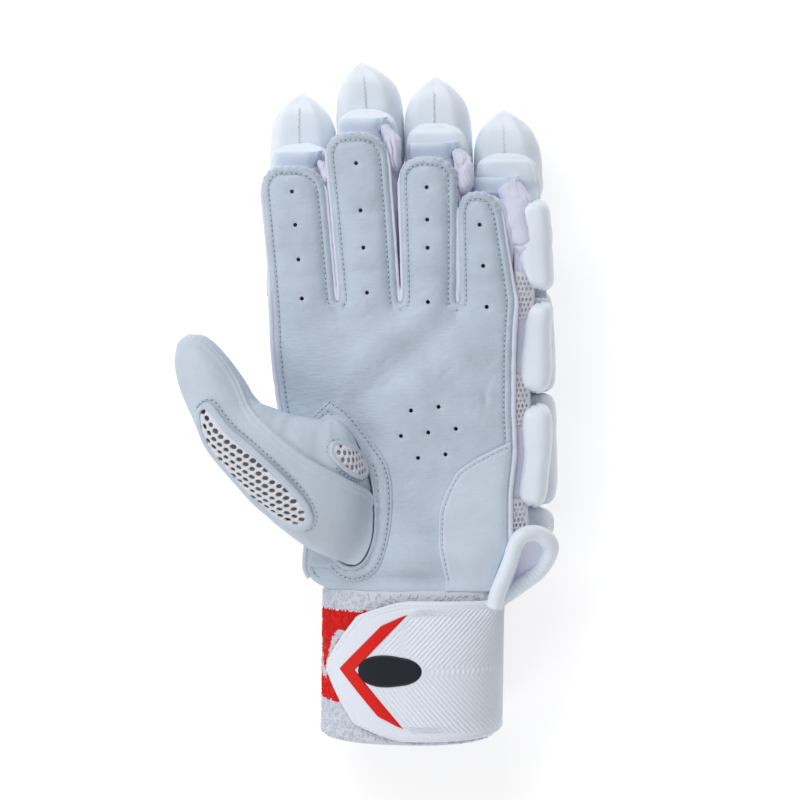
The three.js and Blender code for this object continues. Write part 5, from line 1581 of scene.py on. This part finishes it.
def seams_on_strap():
    rows = []
    for s in (-1, 1):
        aside = np.concatenate([np.linspace(0.5, 29.0, 60), np.full(300, 29.0)])
        lead = strap_end(aside[:60]) + 2.4
        angle = strap_angle(np.concatenate([lead, np.linspace(lead[-1] + 0.5, STRAP_COVERS, 300)]))
        q = band(angle, STRAP_Y + s * aside, STRAP_TOP)
        rows.append((q, band(angle, STRAP_Y + s * aside, STRAP_TOP + 1) - q))
    # its pricked holes take the lighter painted shade
    stitches("strap_stitches", rows, WHITE_THREAD_M, "strap_rubber",
             pitch=2.1, long=1.35, hole=0.18, hole_shade=SOFT_PRICK_SHADE_M)


def seams_on_rolls():
    """The seam down the middle of each fingertip roll: a zigzag of thread below its smooth crease."""
    rows = []
    for k in range(4):
        point = roll_y(ROLL[k])
        y = np.linspace(point - 7, point - 36, 90)
        back = clamp((point - y) / POINT_LENGTH)
        wide = curve(POINT_BACK, [0.012, 0.15, 0.42, 0.745, 0.94, 1], back)
        high = curve(POINT_BACK, POINT_HIGH, back)
        x = column_middle(k, y) + column_half(k, y) * LEAN[k] * (1 - back) * (1 - wide)
        x = x + 0.45 * np.sin(2 * np.pi * y / 1.9)
        p = np.stack([x, y, ROLL_THICK * (1 + high) / 2 + lift(y) + 0.12], 1)
        rows.append((p, np.tile([0.0, 0.25, 1.0], (len(p), 1))))
    # its pricked holes take the lighter painted shade
    stitches("roll_stitches", rows, WHITE_THREAD_M, "white_leather",
             pitch=1.0, long=1.15, radius=0.16, hole=0.13, hole_shade=SOFT_PRICK_SHADE_M)


seams_on_palm()
seams_on_thumb()
seams_on_strap()
seams_on_rolls()

# ---------------------------------------------------------------- floor, light, camera
HALF_FLOOR = 4.0
mesh = bpy.data.meshes.new("floor")
corners = [(x * HALF_FLOOR, y * HALF_FLOOR, 0) for x, y in ((-1, -1), (1, -1), (1, 1), (-1, 1))]
mesh.from_pydata(corners, [], [(0, 1, 2, 3)])
floor = add("floor", mesh)
floor_material = bpy.data.materials.new("floor")
floor_material.use_nodes = True
floor_shader = floor_material.node_tree.nodes["Principled BSDF"]
floor_shader.inputs["Base Color"].default_value = (0.45, 0.45, 0.455, 1)
floor_shader.inputs["Roughness"].default_value = 0.9
floor_shader.inputs["Emission Color"].default_value = (1, 1, 1, 1)
floor_shader.inputs["Emission Strength"].default_value = 0.66
mesh.materials.append(floor_material)


LIT_POINT = Vector((0.0, 0.0, 0.04))


def softbox(name, place, size, watts):
    """A rectangular lamp that looks at the glove; metres and watts."""
    data = bpy.data.lights.new(name, "AREA")
    data.shape = "RECTANGLE"
    data.size, data.size_y = size
    data.energy = watts
    lamp = add(name, data)
    lamp.location = place
    lamp.rotation_euler = (LIT_POINT - Vector(place)).to_track_quat("-Z", "Y").to_euler()


softbox("key", (-0.4, 1.15, 1.15), (1.1, 0.9), 13.5)
softbox("left", (-1.3, 0.1, 1.1), (0.8, 1.0), 3)
softbox("low", (-0.3, -1.3, 1.1), (1.2, 0.8), 8.5)
world = bpy.data.worlds.new("studio")
bpy.context.scene.world = world
world.use_nodes = True
world.node_tree.nodes["Background"].inputs["Color"].default_value = (0.97, 0.98, 1.0, 1)
world.node_tree.nodes["Background"].inputs["Strength"].default_value = 0.34

TURN, TIP_UP, AWAY = math.radians(9), math.radians(4), 1.4  # the camera's side turn, rise and distance
target = Vector((SHIFT[0] / 1000, SHIFT[1] / 1000, 0.05))
aim = Vector((math.sin(TURN) * math.cos(TIP_UP), math.sin(TIP_UP), math.cos(TURN))).normalized()
camera_data = bpy.data.cameras.new("camera")
camera_data.lens, camera_data.sensor_width = 140, 36
camera_data.clip_end = 20
camera = add("camera", camera_data)
camera.location = target + aim * AWAY
right = Vector((0, 1, 0)).cross(aim).normalized()
camera.rotation_euler = Matrix((right, aim.cross(right), aim)).transposed().to_euler()
bpy.context.scene.camera = camera
bpy.context.scene.view_settings.view_transform = "Standard"
